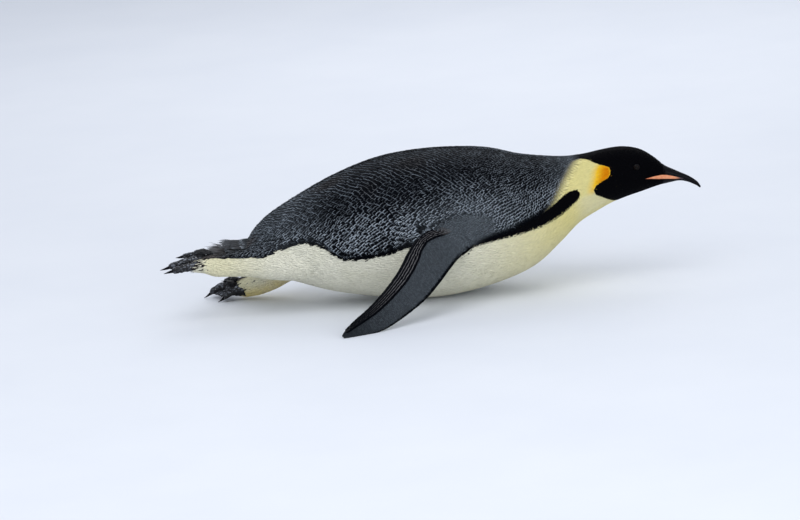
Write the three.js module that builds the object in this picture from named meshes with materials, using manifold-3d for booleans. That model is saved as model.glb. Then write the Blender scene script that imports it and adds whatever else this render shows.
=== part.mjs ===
// Emperor penguin sliding on its belly: a still, life-size model.
// Millimetres, +Z up, +X from tail to bill, floor at z = 0, origin under the middle of the bounding box.
// The bird's right side is -Y. Head, neck, torso and tail are one lofted body parted by thin cuts.

import * as THREE from 'three';
import { mergeVertices } from 'three/addons/utils/BufferGeometryUtils.js';
import Module from 'manifold-3d';

const wasm = await Module();
wasm.setup();

// ---- driving dimensions -------------------------------------------------------------------------

const GAP = 0.3;                 // clearance between touching pieces
const ORIGIN_X = -1.2;           // puts the origin under the middle of the bounding box
const BODY_SIDES = 32;           // points round each body ring
const RINGS_PER_RIB = 3;         // body rings between one rib and the next

// Ribs of the body from tail to bill tip. Each is a plane section through its top and bottom points
// [x, z] on the middle plane, with the half width across it and the fullness of its superellipse.
const RIBS = [
  { name: 'tail_end', top: [-456, 147], bottom: [-459, 126], half: 29, full: 2.0 },
  { name: 'tail_mid', top: [-432, 150], bottom: [-437, 114], half: 39, full: 2.0 },
  { name: 'tail_root', top: [-407.5, 155], bottom: [-415, 98], half: 51, full: 2.0 },
  { name: 'rump_end', top: [-387, 181], bottom: [-399, 86], half: 68, full: 2.0 },
  { name: 'rump', top: [-353, 210], bottom: [-368, 75], half: 87, full: 2.0 },
  { name: 'hips', top: [-283, 249], bottom: [-302, 52], half: 120, full: 2.05 },
  { name: 'loin', top: [-200, 287.5], bottom: [-227.5, 27], half: 144, full: 2.1 },
  { name: 'waist', top: [-108.5, 317], bottom: [-140.5, 9], half: 158, full: 2.15 },
  { name: 'belly', top: [-18, 328], bottom: [-52.5, -2.2], half: 164, full: 2.2 },
  { name: 'chest', top: [71, 327.5], bottom: [36.5, -2.2], half: 162, full: 2.2 },
  { name: 'shoulder', top: [141.5, 320], bottom: [140, 17], half: 149, full: 2.15 },
  { name: 'breast', top: [202.5, 303], bottom: [225, 48], half: 126, full: 2.1 },
  { name: 'neck_base', top: [260, 293.5], bottom: [286.5, 96], half: 99, full: 2.05 },
  { name: 'neck', top: [308.5, 289], bottom: [330, 135.5], half: 77, full: 2.0 },
  { name: 'nape', top: [351, 292], bottom: [372, 159], half: 61, full: 2.0 },
  { name: 'occiput', top: [391.5, 298.5], bottom: [409, 176.5], half: 50, full: 2.0 },
  { name: 'crown', top: [434, 301.5], bottom: [443, 188], half: 44.5, full: 2.05 },
  { name: 'brow', top: [473.5, 293], bottom: [475, 196.5], half: 38.5, full: 2.1 },
  { name: 'lore', top: [503.5, 273.5], bottom: [502.5, 204], half: 27, full: 2.1 },
  { name: 'bill_base', top: [528.5, 251], bottom: [525, 208.5], half: 16.5, full: 2.1 },
  { name: 'bill_mid', top: [554, 236], bottom: [554.5, 213.5], half: 10.5, full: 2.1 },
  { name: 'nail_base', top: [579.5, 222.5], bottom: [574, 210], half: 6.8, full: 2.1 },
  { name: 'nail', top: [597, 209], bottom: [591.5, 201.5], half: 4, full: 2.0 },
  { name: 'tip', top: [605, 196.5], bottom: [602.5, 193.5], half: 1.3, full: 2.0 },
];

// Cuts that part the body: the two ends [x, z] of each cut on the middle plane.
const CUTS = {
  tail: [[-402, 200], [-413, 70]],
  neck: [[258, 310], [289, 80]],
  head: [[366, 310], [392, 150]],
  bill: [[529, 262], [539, 198]],
};

// Mouth line [x, z] from the corner of the gape to where it runs out under the hooked bill tip.
const MOUTH = [[476, 229.5], [488, 232], [503, 236], [520, 237], [532, 234.5], [545, 230.5],
  [563.5, 223.8], [579.5, 216], [591, 207.5], [598, 196], [600, 185]];
const MOUTH_GAP = 0.5;
const GAPE_DEPTH = 3;            // depth of the mouth line behind the bill

// Coloured plate on each side of the lower mandible: its outline [x, z] and thickness.
const PLATE = [[481.5, 230.4], [492, 231.8], [503, 233.6], [519, 234], [532, 231.6], [544.5, 227.6],
  [557, 223.2], [569, 218.8], [555, 218.6], [541, 220.2], [527, 222], [511, 224.2], [496, 227.6]];
const PLATE_THICK = 1.1;

const NOSTRIL = { from: [545, 238.2], to: [554.5, 234.2], width: 1.3, depth: 1.6 };

const EYE = { x: 463.5, z: 258.5, rib: 16.7, radius: 8.2, opening: [7.2, 5.6], lid: 1.5, proud: 0.6 };

// Right flipper: blade from shoulder to tip. Stations give the place along the blade (0 to 1), the
// distances of trailing and leading edge from its axis, and its thickness.
const FLIPPER = {
  shoulder: [54.5, -140, 178],
  tip: [-196.5, -347, 3.6],
  chord: [-0.653, 0.170, 0.738],
  stations: [
    { at: -0.13, trail: 34, lead: -30, thick: 34 },
    { at: 0.0, trail: 47, lead: -44, thick: 36 },
    { at: 0.1, trail: 47, lead: -51, thick: 31 },
    { at: 0.2, trail: 44, lead: -55, thick: 25 },
    { at: 0.33, trail: 36.5, lead: -61, thick: 19 },
    { at: 0.45, trail: 23.5, lead: -64.5, thick: 16 },
    { at: 0.56, trail: 15.5, lead: -62, thick: 14 },
    { at: 0.69, trail: 11, lead: -55.5, thick: 12 },
    { at: 0.8, trail: 11, lead: -47, thick: 10.5 },
    { at: 0.89, trail: 13, lead: -33, thick: 9 },
    { at: 0.96, trail: 13.5, lead: -17, thick: 7.5 },
    { at: 1.01, trail: 12.5, lead: -4, thick: 5.5 },
    { at: 1.03, trail: 10, lead: 3, thick: 3 },
  ],
};
const FLIPPER_ROWS = 4;          // overlapping rows of stiff feathers along the trailing edge
const FLIPPER_ROW_STEP = 0.9;

// Tail feathers: tiers of overlapping vanes [count, root x, root z, tip x, tip z, fan half angle,
// half spread at the root, width], upper tiers first.
const TAIL_TIERS = [
  { count: 7, root: [-417, 147], tip: [-468, 157], fan: 14, spread: 27, wide: 14, layer: 1 },
  { count: 12, root: [-432, 138], tip: [-493, 139], fan: 20, spread: 28, wide: 11.5, layer: 1 },
  { count: 5, root: [-421, 117], tip: [-467, 123], fan: 15, spread: 24, wide: 15, layer: -1 },
];
const VANE_THICK = 1.5;

// Feathered part of each leg: centre, half width and half height at stations from hip to ankle.
const LEGS = {
  right: [
    { at: [-280, -62, 116], wide: 60, high: 50 },
    { at: [-345, -72, 117], wide: 48, high: 43 },
    { at: [-400, -78, 121], wide: 35, high: 32 },
    { at: [-445, -81, 122.5], wide: 28, high: 27 },
    { at: [-475, -82, 122.5], wide: 24, high: 24.5 },
    { at: [-492, -82, 126], wide: 20, high: 16 },
  ],
  left: [
    { at: [-280, 60, 108], wide: 60, high: 50 },
    { at: [-325, 76, 82], wide: 50, high: 45 },
    { at: [-365, 88, 51], wide: 38, high: 36 },
    { at: [-397, 94, 34], wide: 30, high: 30 },
    { at: [-418, 98, 28], wide: 26, high: 26.5 },
    { at: [-431, 100, 26], wide: 22, high: 20 },
  ],
};
const LEG_SIDES = 18;

// Feet, soles up. Each toe runs from its root through its knuckle to the claw root, then the claw to
// its tip. The inner toe is nearest the middle plane. The heel pad is the bare sole of the tarsus,
// from over the feathered leg to the palm.
const FEET = {
  right: {
    ankle: [-492, -82, 126],
    heel: { wide: 19, high: 14 },
    palm: { at: [-520, -80, 132], wide: 29, high: 12 },
    sole: [-0.10, -0.36, 0.93],
    toes: [
      { name: 'inner', root: [-502, -62, 143], knuckle: [-530, -49, 149], claw: [-552, -42, 138], tip: [-568, -39, 134.5] },
      { name: 'middle', root: [-510, -79, 136], knuckle: [-546, -79, 137], claw: [-582, -82, 125.5], tip: [-603, -83, 121] },
      { name: 'outer', root: [-508, -97, 128], knuckle: [-540, -106, 129], claw: [-574, -113, 123.5], tip: [-594, -115, 119.5] },
    ],
    hallux: { root: [-504, -66, 127], claw: [-516, -54, 125], tip: [-526, -49, 123.5] },
    heelPad: { root: [-474, -68, 148], knuckle: [-492, -68, 152], claw: [-520, -66, 146] },
  },
  left: {
    ankle: [-431, 100, 26],
    heel: { wide: 21, high: 18 },
    palm: { at: [-452, 108, 28], wide: 29, high: 16 },
    sole: [-0.40, -0.20, 0.89],
    toes: [
      { name: 'inner', root: [-444, 88, 21], knuckle: [-460, 80, 19], claw: [-472, 78, 9.5], tip: [-487, 80, 0.6] },
      { name: 'middle', root: [-450, 104, 30], knuckle: [-479, 117, 34], claw: [-502, 126, 12], tip: [-519, 131, 0.6] },
      { name: 'outer', root: [-448, 121, 29], knuckle: [-469, 137, 29], claw: [-489, 147, 12], tip: [-505, 153, 0.6] },
    ],
    hallux: { root: [-448, 88, 38], claw: [-465, 84, 45], tip: [-477, 82, 48] },
    heelPad: { root: [-426, 96, 44], knuckle: [-438, 97, 50], claw: [-462, 106, 36] },
  },
};
const TOE = { radius: [10.5, 9.4, 6.8], sides: 10, scutes: 6, scuteRise: 1.0 };
const HALLUX = { radius: [5.5, 5, 4], sides: 8, scutes: 2, scuteRise: 0.6 };
const HEEL_PAD = { radius: [7, 9.5, 8], sides: 8, scutes: 3, scuteRise: 0.6 };
const ROOT_ROUND = 0.6;          // size of a toe's rounded root end, as a share of its radius
const ANKLE_SUNK = 8;            // length of the foot inside the leg before it is cut face to face
const CLAW_RADIUS = [5.6, 0.7];
const WEB = { reach: 0.66, dip: 0.16, thick: [5, 2.4], steps: 4 };

const LOOKS = {
  slate: { color: 0x2a2f38, roughness: 0.55 },
  black: { color: 0x0b0b12, roughness: 0.6 },
  cream: { color: 0xe2ddc8, roughness: 0.6 },
  yellow: { color: 0xd8cd8a, roughness: 0.6 },
  horn: { color: 0x1b1c22, roughness: 0.35 },
  salmon: { color: 0xd98f6a, roughness: 0.35 },
  eye: { color: 0x1a0d08, roughness: 0.05 },
  scute: { color: 0x15161b, roughness: 0.5 },
  claw: { color: 0x0e0e12, roughness: 0.3 },
};

// ---- small helpers ------------------------------------------------------------------------------

const vec = (p) => new THREE.Vector3(p[0], p[1], p[2]);
const mix = (a, b, t) => a + (b - a) * t;
const smooth = (a, b, x) => {
  const t = Math.min(1, Math.max(0, (x - a) / (b - a)));
  return t * t * (3 - 2 * t);
};

// Catmull-Rom value through equally spaced samples, held at both ends.
function spline(values, u) {
  const last = values.length - 1;
  const i = Math.min(last - 1, Math.max(0, Math.floor(u)));
  const t = u - i;
  const p0 = values[Math.max(0, i - 1)];
  const p1 = values[i];
  const p2 = values[i + 1];
  const p3 = values[Math.min(last, i + 2)];
  const a = 2 * p1;
  const b = p2 - p0;
  const c = 2 * p0 - 5 * p1 + 4 * p2 - p3;
  const d = 3 * p1 - p0 - 3 * p2 + p3;
  return 0.5 * (a + b * t + c * t * t + d * t * t * t);
}

// A closed surface through rings of equal counts of points, with a fan at each end. The winding is
// turned if the enclosed volume comes out negative.
function loft(rings) {
  const count = rings[0].length;
  const points = rings.flat();
  const centre = (ring) => ring.reduce((sum, p) => sum.add(p), new THREE.Vector3()).divideScalar(count);
  const first = points.push(centre(rings[0])) - 1;
  const last = points.push(centre(rings[rings.length - 1])) - 1;
  const index = [];
  for (let i = 0; i + 1 < rings.length; i += 1) {
    for (let k = 0; k < count; k += 1) {
      const a = i * count + k;
      const b = i * count + ((k + 1) % count);
      index.push(a, b, b + count, a, b + count, a + count);
    }
  }
  const end = (rings.length - 1) * count;
  for (let k = 0; k < count; k += 1) {
    const next = (k + 1) % count;
    index.push(first, next, k, last, end + k, end + next);
  }
  let volume = 0;
  for (let i = 0; i < index.length; i += 3) {
    const [a, b, c] = [points[index[i]], points[index[i + 1]], points[index[i + 2]]];
    volume += a.dot(b.clone().cross(c));
  }
  if (volume < 0) index.reverse();
  const geometry = new THREE.BufferGeometry();
  geometry.setAttribute('position', new THREE.Float32BufferAttribute(points.flatMap((p) => p.toArray()), 3));
  geometry.setIndex(index);
  return geometry;
}

// Closed geometry to solid, and back.
function solid(geometry) {
  const bare = geometry.index ? geometry.clone() : geometry;
  bare.deleteAttribute('normal');
  bare.deleteAttribute('uv');
  const merged = mergeVertices(bare, 1e-4);
  return new wasm.Manifold(new wasm.Mesh({
    numProp: 3,
    vertProperties: new Float32Array(merged.attributes.position.array),
    triVerts: new Uint32Array(merged.index.array),
  }));
}

function geometryOf(body) {
  const mesh = body.getMesh();
  const geometry = new THREE.BufferGeometry();
  geometry.setAttribute('position', new THREE.Float32BufferAttribute(mesh.vertProperties, 3));
  geometry.setIndex([...mesh.triVerts]);
  return geometry;
}

const join = (bodies) => bodies.reduce((sum, body) => sum.add(body));
const pieces = (body) => body.decompose().sort((a, b) => b.volume() - a.volume());
const largest = (body) => pieces(body)[0];

// A thin wall across the body through two points [x, z] of the middle plane.
function wall([a, b], thick) {
  const [dx, dz] = [b[0] - a[0], b[1] - a[1]];
  const box = new THREE.BoxGeometry(thick, 400, Math.hypot(dx, dz));
  box.rotateY(Math.atan2(dx, dz));
  box.translate((a[0] + b[0]) / 2, 0, (a[1] + b[1]) / 2);
  return solid(box);
}

// An outline [x, z] carried across the body from y = from to y = to.
function prism(outline, from, to) {
  const shape = new THREE.Shape(outline.map(([x, z]) => new THREE.Vector2(x, z)));
  const geometry = new THREE.ExtrudeGeometry(shape, { depth: to - from, bevelEnabled: false });
  geometry.rotateX(Math.PI / 2);
  geometry.translate(0, to, 0);
  return solid(geometry);
}

// A band of the given width along a path [x, z].
function band(path, width) {
  const side = (sign) => path.map(([x, z], i) => {
    const a = path[Math.max(0, i - 1)];
    const b = path[Math.min(path.length - 1, i + 1)];
    const length = Math.hypot(b[0] - a[0], b[1] - a[1]);
    const nx = -(b[1] - a[1]) / length;
    const nz = (b[0] - a[0]) / length;
    return [x + (sign * nx * width) / 2, z + (sign * nz * width) / 2];
  });
  return [...side(1), ...side(-1).reverse()];
}

const floorBlock = solid(new THREE.BoxGeometry(1600, 1000, 200).translate(0, 0, -100));
const onFloor = (body) => largest(body.subtract(floorBlock));

function named(name, body, look) {
  const geometry = body.isBufferGeometry ? body : geometryOf(body);
  const mesh = new THREE.Mesh(geometry, new THREE.MeshStandardMaterial({ ...LOOKS[look], metalness: 0 }));
  mesh.name = name;
  return mesh;
}

// ---- body: one loft from tail to bill tip -------------------------------------------------------

function bodyRing(u, grow) {
  const at = (pick) => spline(RIBS.map(pick), u);
  const top = new THREE.Vector3(at((r) => r.top[0]), 0, at((r) => r.top[1]));
  const bottom = new THREE.Vector3(at((r) => r.bottom[0]), 0, at((r) => r.bottom[1]));
  const up = top.clone().sub(bottom).normalize();
  const high = top.distanceTo(bottom) / 2 + grow;
  const half = at((r) => r.half) + grow;
  const power = 2 / at((r) => r.full);
  const middle = top.add(bottom).multiplyScalar(0.5);
  const ring = [];
  for (let k = 0; k < BODY_SIDES; k += 1) {
    const angle = (2 * Math.PI * k) / BODY_SIDES;
    const [c, s] = [Math.cos(angle), Math.sin(angle)];
    const across = half * Math.sign(c) * Math.abs(c) ** power;
    const along = high * Math.sign(s) * Math.abs(s) ** power;
    ring.push(middle.clone().addScaledVector(up, along).add(new THREE.Vector3(0, across, 0)));
  }
  return ring;
}

function bodySolid(grow) {
  const rings = [];
  const steps = (RIBS.length - 1) * RINGS_PER_RIB;
  for (let i = 0; i <= steps; i += 1) rings.push(bodyRing(i / RINGS_PER_RIB, grow));
  return solid(loft(rings));
}

const body = bodySolid(0);
const bodyGrown = bodySolid(GAP);

const parted = pieces(Object.values(CUTS).reduce((rest, cut) => rest.subtract(wall(cut, GAP)), body));
const middleX = (piece) => (piece.boundingBox().min[0] + piece.boundingBox().max[0]) / 2;
const [tailCore, torsoRaw, neckRaw, headRaw, billRaw] = parted.sort((a, b) => middleX(a) - middleX(b));

const torso = onFloor(torsoRaw);
const neck = largest(neckRaw);

// ---- head: mouth line, eye sockets and lids -----------------------------------------------------

const mouthWall = prism(band(MOUTH, MOUTH_GAP), -60, 60);
const gape = mouthWall.subtract(bodySolid(-GAPE_DEPTH));

// The eye's place: the surface of the head straight out from (x, z) on each side.
function eyeCentre(side) {
  const rib = bodyRing(EYE.rib, 0);
  const near = rib.filter((p) => Math.sign(p.y) === side)
    .sort((a, b) => Math.abs(a.z - EYE.z) - Math.abs(b.z - EYE.z));
  const out = (Math.abs(near[0].y) + Math.abs(near[1].y)) / 2;
  return new THREE.Vector3(EYE.x, side * (out + EYE.proud - EYE.radius), EYE.z);
}

const ball = (radius, centre, fine) => solid(new THREE.SphereGeometry(radius, fine, fine / 2)
  .rotateX(Math.PI / 2).translate(centre.x, centre.y, centre.z));

// Almond opening between the lids, pointing out along y.
function lidOpening(centre, side) {
  const outline = [];
  for (let k = 0; k < 16; k += 1) {
    const angle = (2 * Math.PI * k) / 16;
    const x = EYE.opening[0] * Math.cos(angle);
    const z = EYE.opening[1] * Math.sin(angle) * (1 - 0.25 * Math.abs(Math.cos(angle)));
    outline.push([centre.x + x, centre.z + z]);
  }
  return side > 0 ? prism(outline, centre.y, centre.y + 30) : prism(outline, centre.y - 30, centre.y);
}

let head = headRaw.subtract(gape);
const eyes = {};
for (const [name, side] of [['right', -1], ['left', 1]]) {
  const centre = eyeCentre(side);
  head = head.add(ball(EYE.radius + EYE.lid, centre, 16));
  head = head.subtract(ball(EYE.radius + GAP, centre, 16)).subtract(lidOpening(centre, side));
  eyes[name] = ball(EYE.radius, centre, 16);
}
head = largest(head);

// ---- bill: upper and lower mandible, plates, nostrils -------------------------------------------

function nostril(side) {
  const outline = band([NOSTRIL.from, NOSTRIL.to], NOSTRIL.width);
  const slot = side > 0 ? prism(outline, 2, 40) : prism(outline, -40, -2);
  return slot.subtract(bodySolid(-NOSTRIL.depth));
}

const [billUpperRaw, billLowerRaw] = pieces(billRaw.subtract(mouthWall))
  .slice(0, 2).sort((a, b) => b.boundingBox().max[2] - a.boundingBox().max[2]);
const billUpper = largest(billUpperRaw.subtract(nostril(-1)).subtract(nostril(1)));
const billLower = largest(billLowerRaw);
const plateShell = bodySolid(GAP + PLATE_THICK).subtract(bodyGrown);
const plate = (side) => largest(plateShell.intersect(side > 0 ? prism(PLATE, 2, 60) : prism(PLATE, -60, -2)));

// ---- flippers -----------------------------------------------------------------------------------

// Section of the blade as [place across the chord from leading edge 0 to trailing edge 1, height of
// the upper or lower face as a share of the thickness, rise of a feather row].
function flipperSection() {
  const camber = (q) => 1.05 * Math.sqrt(q) * (1 - 0.55 * q) - 0.1 * q;
  const upper = [0.0, 0.04, 0.14, 0.3, 0.46].map((q) => [q, camber(q) + 0.12, 0]);
  for (let row = 0; row < FLIPPER_ROWS; row += 1) {
    const from = 0.58 + (0.4 * row) / FLIPPER_ROWS;
    upper.push([from, camber(from) + 0.12, 1], [from + 0.02, camber(from + 0.02) + 0.12, 0]);
  }
  const lower = [0.99, 0.8, 0.62, 0.42, 0.22, 0.08, 0.01].map((q) => [q, -0.55 * camber(q) - 0.06, 0]);
  return [...upper, ...lower];
}

function flipper(side) {
  const flip = (p) => new THREE.Vector3(p[0], -side * p[1], p[2]);
  const shoulder = flip(FLIPPER.shoulder);
  const axis = flip(FLIPPER.tip).sub(shoulder);
  const chord = flip(FLIPPER.chord).normalize();
  const face = axis.clone().cross(chord).normalize().multiplyScalar(side);
  const section = flipperSection();
  const rings = [];
  const steps = 20;
  for (let i = 0; i <= steps; i += 1) {
    const u = ((FLIPPER.stations.length - 1) * i) / steps;
    const at = (key) => spline(FLIPPER.stations.map((s) => s[key]), u);
    const rows = smooth(0.12, 0.3, at('at')) * (1 - smooth(0.9, 1, at('at')));
    rings.push(section.map(([q, height, rise]) => shoulder.clone()
      .addScaledVector(axis, at('at'))
      .addScaledVector(chord, mix(at('lead'), at('trail'), q))
      .addScaledVector(face, height * at('thick') * 0.62 + rise * rows * FLIPPER_ROW_STEP)));
  }
  return onFloor(solid(loft(rings)).subtract(bodyGrown));
}

// ---- tail ---------------------------------------------------------------------------------------

// One stiff vane from root to tip: a flat blade with a raised shaft, pointed at the tip.
function vane(root, tip, wide, thick) {
  const along = tip.clone().sub(root);
  const across = new THREE.Vector3(0, 0, 1).cross(along).normalize();
  const up = along.clone().cross(across).normalize();
  const shape = [[0, 0.6, 1], [0.4, 1, 1], [0.85, 0.8, 0.85], [1, 0.12, 0.6]];
  const edge = [[1, 0.25], [0, 0.5], [-1, 0.25], [-1, -0.25], [0, -0.5], [1, -0.25]];
  return solid(loft(shape.map(([t, width, depth]) => edge.map(([side, rise]) => root.clone()
    .addScaledVector(along, t)
    .addScaledVector(across, (side * wide * width) / 2)
    .addScaledVector(up, rise * thick * depth)))));
}

// A tier of vanes fanned about the middle plane. Every second vane lies one thickness lower at its
// tip, so that neighbours overlap without touching outside the root.
function tailTier({ count, root, tip, fan, spread, wide, layer }) {
  const vanes = [];
  for (let i = 0; i < count; i += 1) {
    const place = (2 * i) / (count - 1) - 1;
    const turn = THREE.MathUtils.degToRad(fan * place);
    const length = (tip[0] - root[0]) * (1 - 0.14 * place * place - 0.05 * (i % 2));
    const lower = (i % 2) * (VANE_THICK + GAP) * layer;
    const drop = 7 * place * place;
    const start = new THREE.Vector3(root[0], spread * place, root[1] - drop - lower * 0.6);
    const end = new THREE.Vector3(
      start.x + length * Math.cos(turn),
      start.y - length * Math.sin(turn),
      tip[1] - drop - lower * 1.4,
    );
    vanes.push(vane(start, end, wide, VANE_THICK));
  }
  return join(vanes);
}

const tail = largest(join([tailCore, ...TAIL_TIERS.map(tailTier)]));

// ---- legs ---------------------------------------------------------------------------------------

function legSolid(stations, grow) {
  const rings = [];
  const path = new THREE.CatmullRomCurve3(stations.map((s) => vec(s.at)));
  const steps = (stations.length - 1) * 2;
  for (let i = 0; i <= steps; i += 1) {
    const u = i / 2;
    const middle = new THREE.Vector3(...[0, 1, 2].map((k) => spline(stations.map((s) => s.at[k]), u)));
    const ahead = path.getTangent(u / (stations.length - 1));
    const across = new THREE.Vector3(0, 0, 1).cross(ahead).normalize();
    const up = ahead.clone().cross(across).normalize();
    const wide = spline(stations.map((s) => s.wide), u) + grow;
    const high = spline(stations.map((s) => s.high), u) + grow;
    if (i === steps) middle.addScaledVector(ahead, grow);
    rings.push(Array.from({ length: LEG_SIDES }, (_, k) => {
      const angle = (2 * Math.PI * k) / LEG_SIDES;
      return middle.clone()
        .addScaledVector(across, wide * Math.cos(angle))
        .addScaledVector(up, high * Math.sin(angle));
    }));
  }
  return solid(loft(rings));
}

const leg = (stations) => onFloor(legSolid(stations, 0).subtract(bodyGrown));

// ---- feet ---------------------------------------------------------------------------------------

// A toe as rings along a bent path. On the side away from the sole it carries raised scutes, each a
// step up at its far edge; on the sole it swells into a pad under each joint.
function toe({ root, knuckle, claw }, sole, { radius, sides, scutes, scuteRise }) {
  const path = new THREE.QuadraticBezierCurve3(vec(root), vec(knuckle), vec(claw));
  const up = vec(sole).normalize();
  const rings = [];
  const places = [0];
  for (let i = 1; i <= scutes; i += 1) places.push((i - 0.5) / scutes, i / scutes - 0.02, i / scutes);
  places.forEach((t, i) => {
    const ahead = path.getTangent(t);
    const across = up.clone().cross(ahead).normalize();
    const over = ahead.clone().cross(across).normalize();
    const middle = path.getPoint(t);
    const full = t < 0.5 ? mix(radius[0], radius[1], 2 * t) : mix(radius[1], radius[2], 2 * t - 1);
    const size = i === 0 ? ROOT_ROUND * full : full;
    const rise = scuteRise * [0, 0.55, 1][i % 3];
    const pad = 0.1 * Math.max(0, Math.sin(Math.PI * (3 * t - 0.2))) * size;
    rings.push(Array.from({ length: sides }, (_, k) => {
      const angle = (2 * Math.PI * k) / sides;
      const [c, s] = [Math.cos(angle), Math.sin(angle)];
      const reach = size + rise * smooth(0.45, -0.1, s) + pad * smooth(0.2, 0.8, s);
      return middle.clone().addScaledVector(across, reach * c).addScaledVector(over, 0.86 * reach * s);
    }));
  });
  return loft(rings);
}

// A claw on the end of a toe, curved towards the sole.
function claw({ knuckle, root, claw: from, tip }, sole, size) {
  const start = vec(from);
  const ahead = start.clone().sub(vec(knuckle ?? root)).normalize();
  start.addScaledVector(ahead, GAP);
  const end = vec(tip);
  const bend = start.clone().addScaledVector(ahead, start.distanceTo(end) * 0.5);
  const path = new THREE.QuadraticBezierCurve3(start, bend, end);
  const up = vec(sole).normalize();
  const rings = [0, 0.4, 0.75, 1].map((t) => {
    const along = path.getTangent(t);
    const across = up.clone().cross(along).normalize();
    const over = along.clone().cross(across).normalize();
    const reach = mix(CLAW_RADIUS[0], CLAW_RADIUS[1], t ** 1.25) * size;
    return Array.from({ length: 8 }, (_, k) => {
      const angle = (2 * Math.PI * k) / 8;
      return path.getPoint(t).clone()
        .addScaledVector(across, reach * Math.cos(angle) * 0.95)
        .addScaledVector(over, reach * Math.sin(angle) * 1.05);
    });
  });
  return solid(loft(rings));
}

// Web between two toes: a thin sheet with a hollow front edge, thicker towards the palm.
function web(a, b, sole) {
  const [one, two] = [a, b].map((t) => new THREE.QuadraticBezierCurve3(vec(t.root), vec(t.knuckle), vec(t.claw)));
  const up = vec(sole).normalize();
  const rings = [];
  for (let i = 0; i <= WEB.steps; i += 1) {
    const row = (side) => Array.from({ length: WEB.steps + 1 }, (_, k) => {
      const v = k / WEB.steps;
      const t = (i / WEB.steps) * (WEB.reach - WEB.dip * Math.sin(Math.PI * v));
      const depth = mix(WEB.thick[0], WEB.thick[1], i / WEB.steps) / 2;
      return one.getPoint(t).lerp(two.getPoint(t), v).addScaledVector(up, side * depth - 1);
    });
    rings.push([...row(1), ...row(-1).reverse()]);
  }
  return solid(loft(rings));
}

function foot({ ankle, heel, palm, sole, toes, hallux, heelPad }, legGrown) {
  const up = vec(sole).normalize();
  const end = vec(palm.at);
  const ahead = end.clone().sub(vec(ankle)).normalize();
  const start = vec(ankle).addScaledVector(ahead, -ANKLE_SUNK);
  const across = up.clone().cross(ahead).normalize();
  const over = ahead.clone().cross(across).normalize();
  const rings = [[0, 0, 1], [0.5, 0.5, 1], [1, 1, 1], [1.25, 0.8, 0.75]].map(([t, w, share]) =>
    Array.from({ length: 16 }, (_, k) => {
      const angle = (2 * Math.PI * k) / 16;
      return start.clone().lerp(end, t)
        .addScaledVector(across, mix(heel.wide, palm.wide, w) * share * Math.cos(angle))
        .addScaledVector(over, mix(heel.high, palm.high, w) * share * Math.sin(angle));
    }));
  const parts = [
    solid(loft(rings)),
    ...toes.map((t) => solid(toe(t, sole, TOE))),
    web(toes[0], toes[1], sole),
    web(toes[1], toes[2], sole),
    solid(toe({ ...hallux, knuckle: hallux.root.map((c, i) => (c + hallux.claw[i]) / 2) }, sole, HALLUX)),
    solid(toe(heelPad, sole, HEEL_PAD)),
  ];
  return onFloor(join(parts).subtract(legGrown));
}

// ---- the bird -----------------------------------------------------------------------------------

const penguin = new THREE.Group();
penguin.position.x = ORIGIN_X;
penguin.add(
  named('torso', torso, 'slate'),
  named('neck', neck, 'yellow'),
  named('head', head, 'black'),
  named('tail', tail, 'slate'),
  named('bill_upper', billUpper, 'horn'),
  named('bill_lower', billLower, 'horn'),
);
for (const [name, side] of [['right', -1], ['left', 1]]) {
  const feet = FEET[name];
  penguin.add(
    named(`bill_plate_${name}`, plate(side), 'salmon'),
    named(`eye_${name}`, eyes[name], 'eye'),
    named(`flipper_${name}`, flipper(side), 'slate'),
    named(`leg_${name}`, leg(LEGS[name]), 'cream'),
    named(`foot_${name}`, foot(feet, legSolid(LEGS[name], GAP)), 'scute'),
  );
  for (const each of feet.toes) {
    penguin.add(named(`claw_${each.name}_${name}`, onFloor(claw(each, feet.sole, 1)), 'claw'));
  }
  penguin.add(named(`claw_hallux_${name}`, onFloor(claw(feet.hallux, feet.sole, 0.6)), 'claw'));
}

export default penguin;
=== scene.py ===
import math

import bpy
import numpy as np
from mathutils import Matrix, Vector
from mathutils.bvhtree import BVHTree
from mathutils.kdtree import KDTree


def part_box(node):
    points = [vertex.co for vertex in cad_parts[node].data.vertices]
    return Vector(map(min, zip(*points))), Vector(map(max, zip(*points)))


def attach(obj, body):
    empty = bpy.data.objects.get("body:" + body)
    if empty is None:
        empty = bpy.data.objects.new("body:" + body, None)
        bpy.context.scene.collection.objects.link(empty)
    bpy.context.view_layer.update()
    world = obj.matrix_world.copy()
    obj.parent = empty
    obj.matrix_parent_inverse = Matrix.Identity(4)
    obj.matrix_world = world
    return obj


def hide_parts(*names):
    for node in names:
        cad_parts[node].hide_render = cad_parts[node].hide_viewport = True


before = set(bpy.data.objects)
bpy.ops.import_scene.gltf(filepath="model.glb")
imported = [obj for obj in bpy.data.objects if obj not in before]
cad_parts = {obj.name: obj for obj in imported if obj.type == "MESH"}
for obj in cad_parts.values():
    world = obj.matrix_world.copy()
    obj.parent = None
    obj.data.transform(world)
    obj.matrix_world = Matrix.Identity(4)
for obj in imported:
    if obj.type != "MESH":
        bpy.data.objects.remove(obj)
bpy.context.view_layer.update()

# Emperor penguin sliding on its belly: skin, coat of feathers, bill, eyes, feet and tail.
# Metres, +Z up, +X from tail to bill; the bird's right side is -Y. SIDES gives the sign of y.
MM = 0.001
SIDES = {"right": -1, "left": 1}
SEED = 5

# ---- sizes of the body --------------------------------------------------------------------------

SHIFT_X = -1.2                   # puts the origin under the middle of the bird's box
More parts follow.
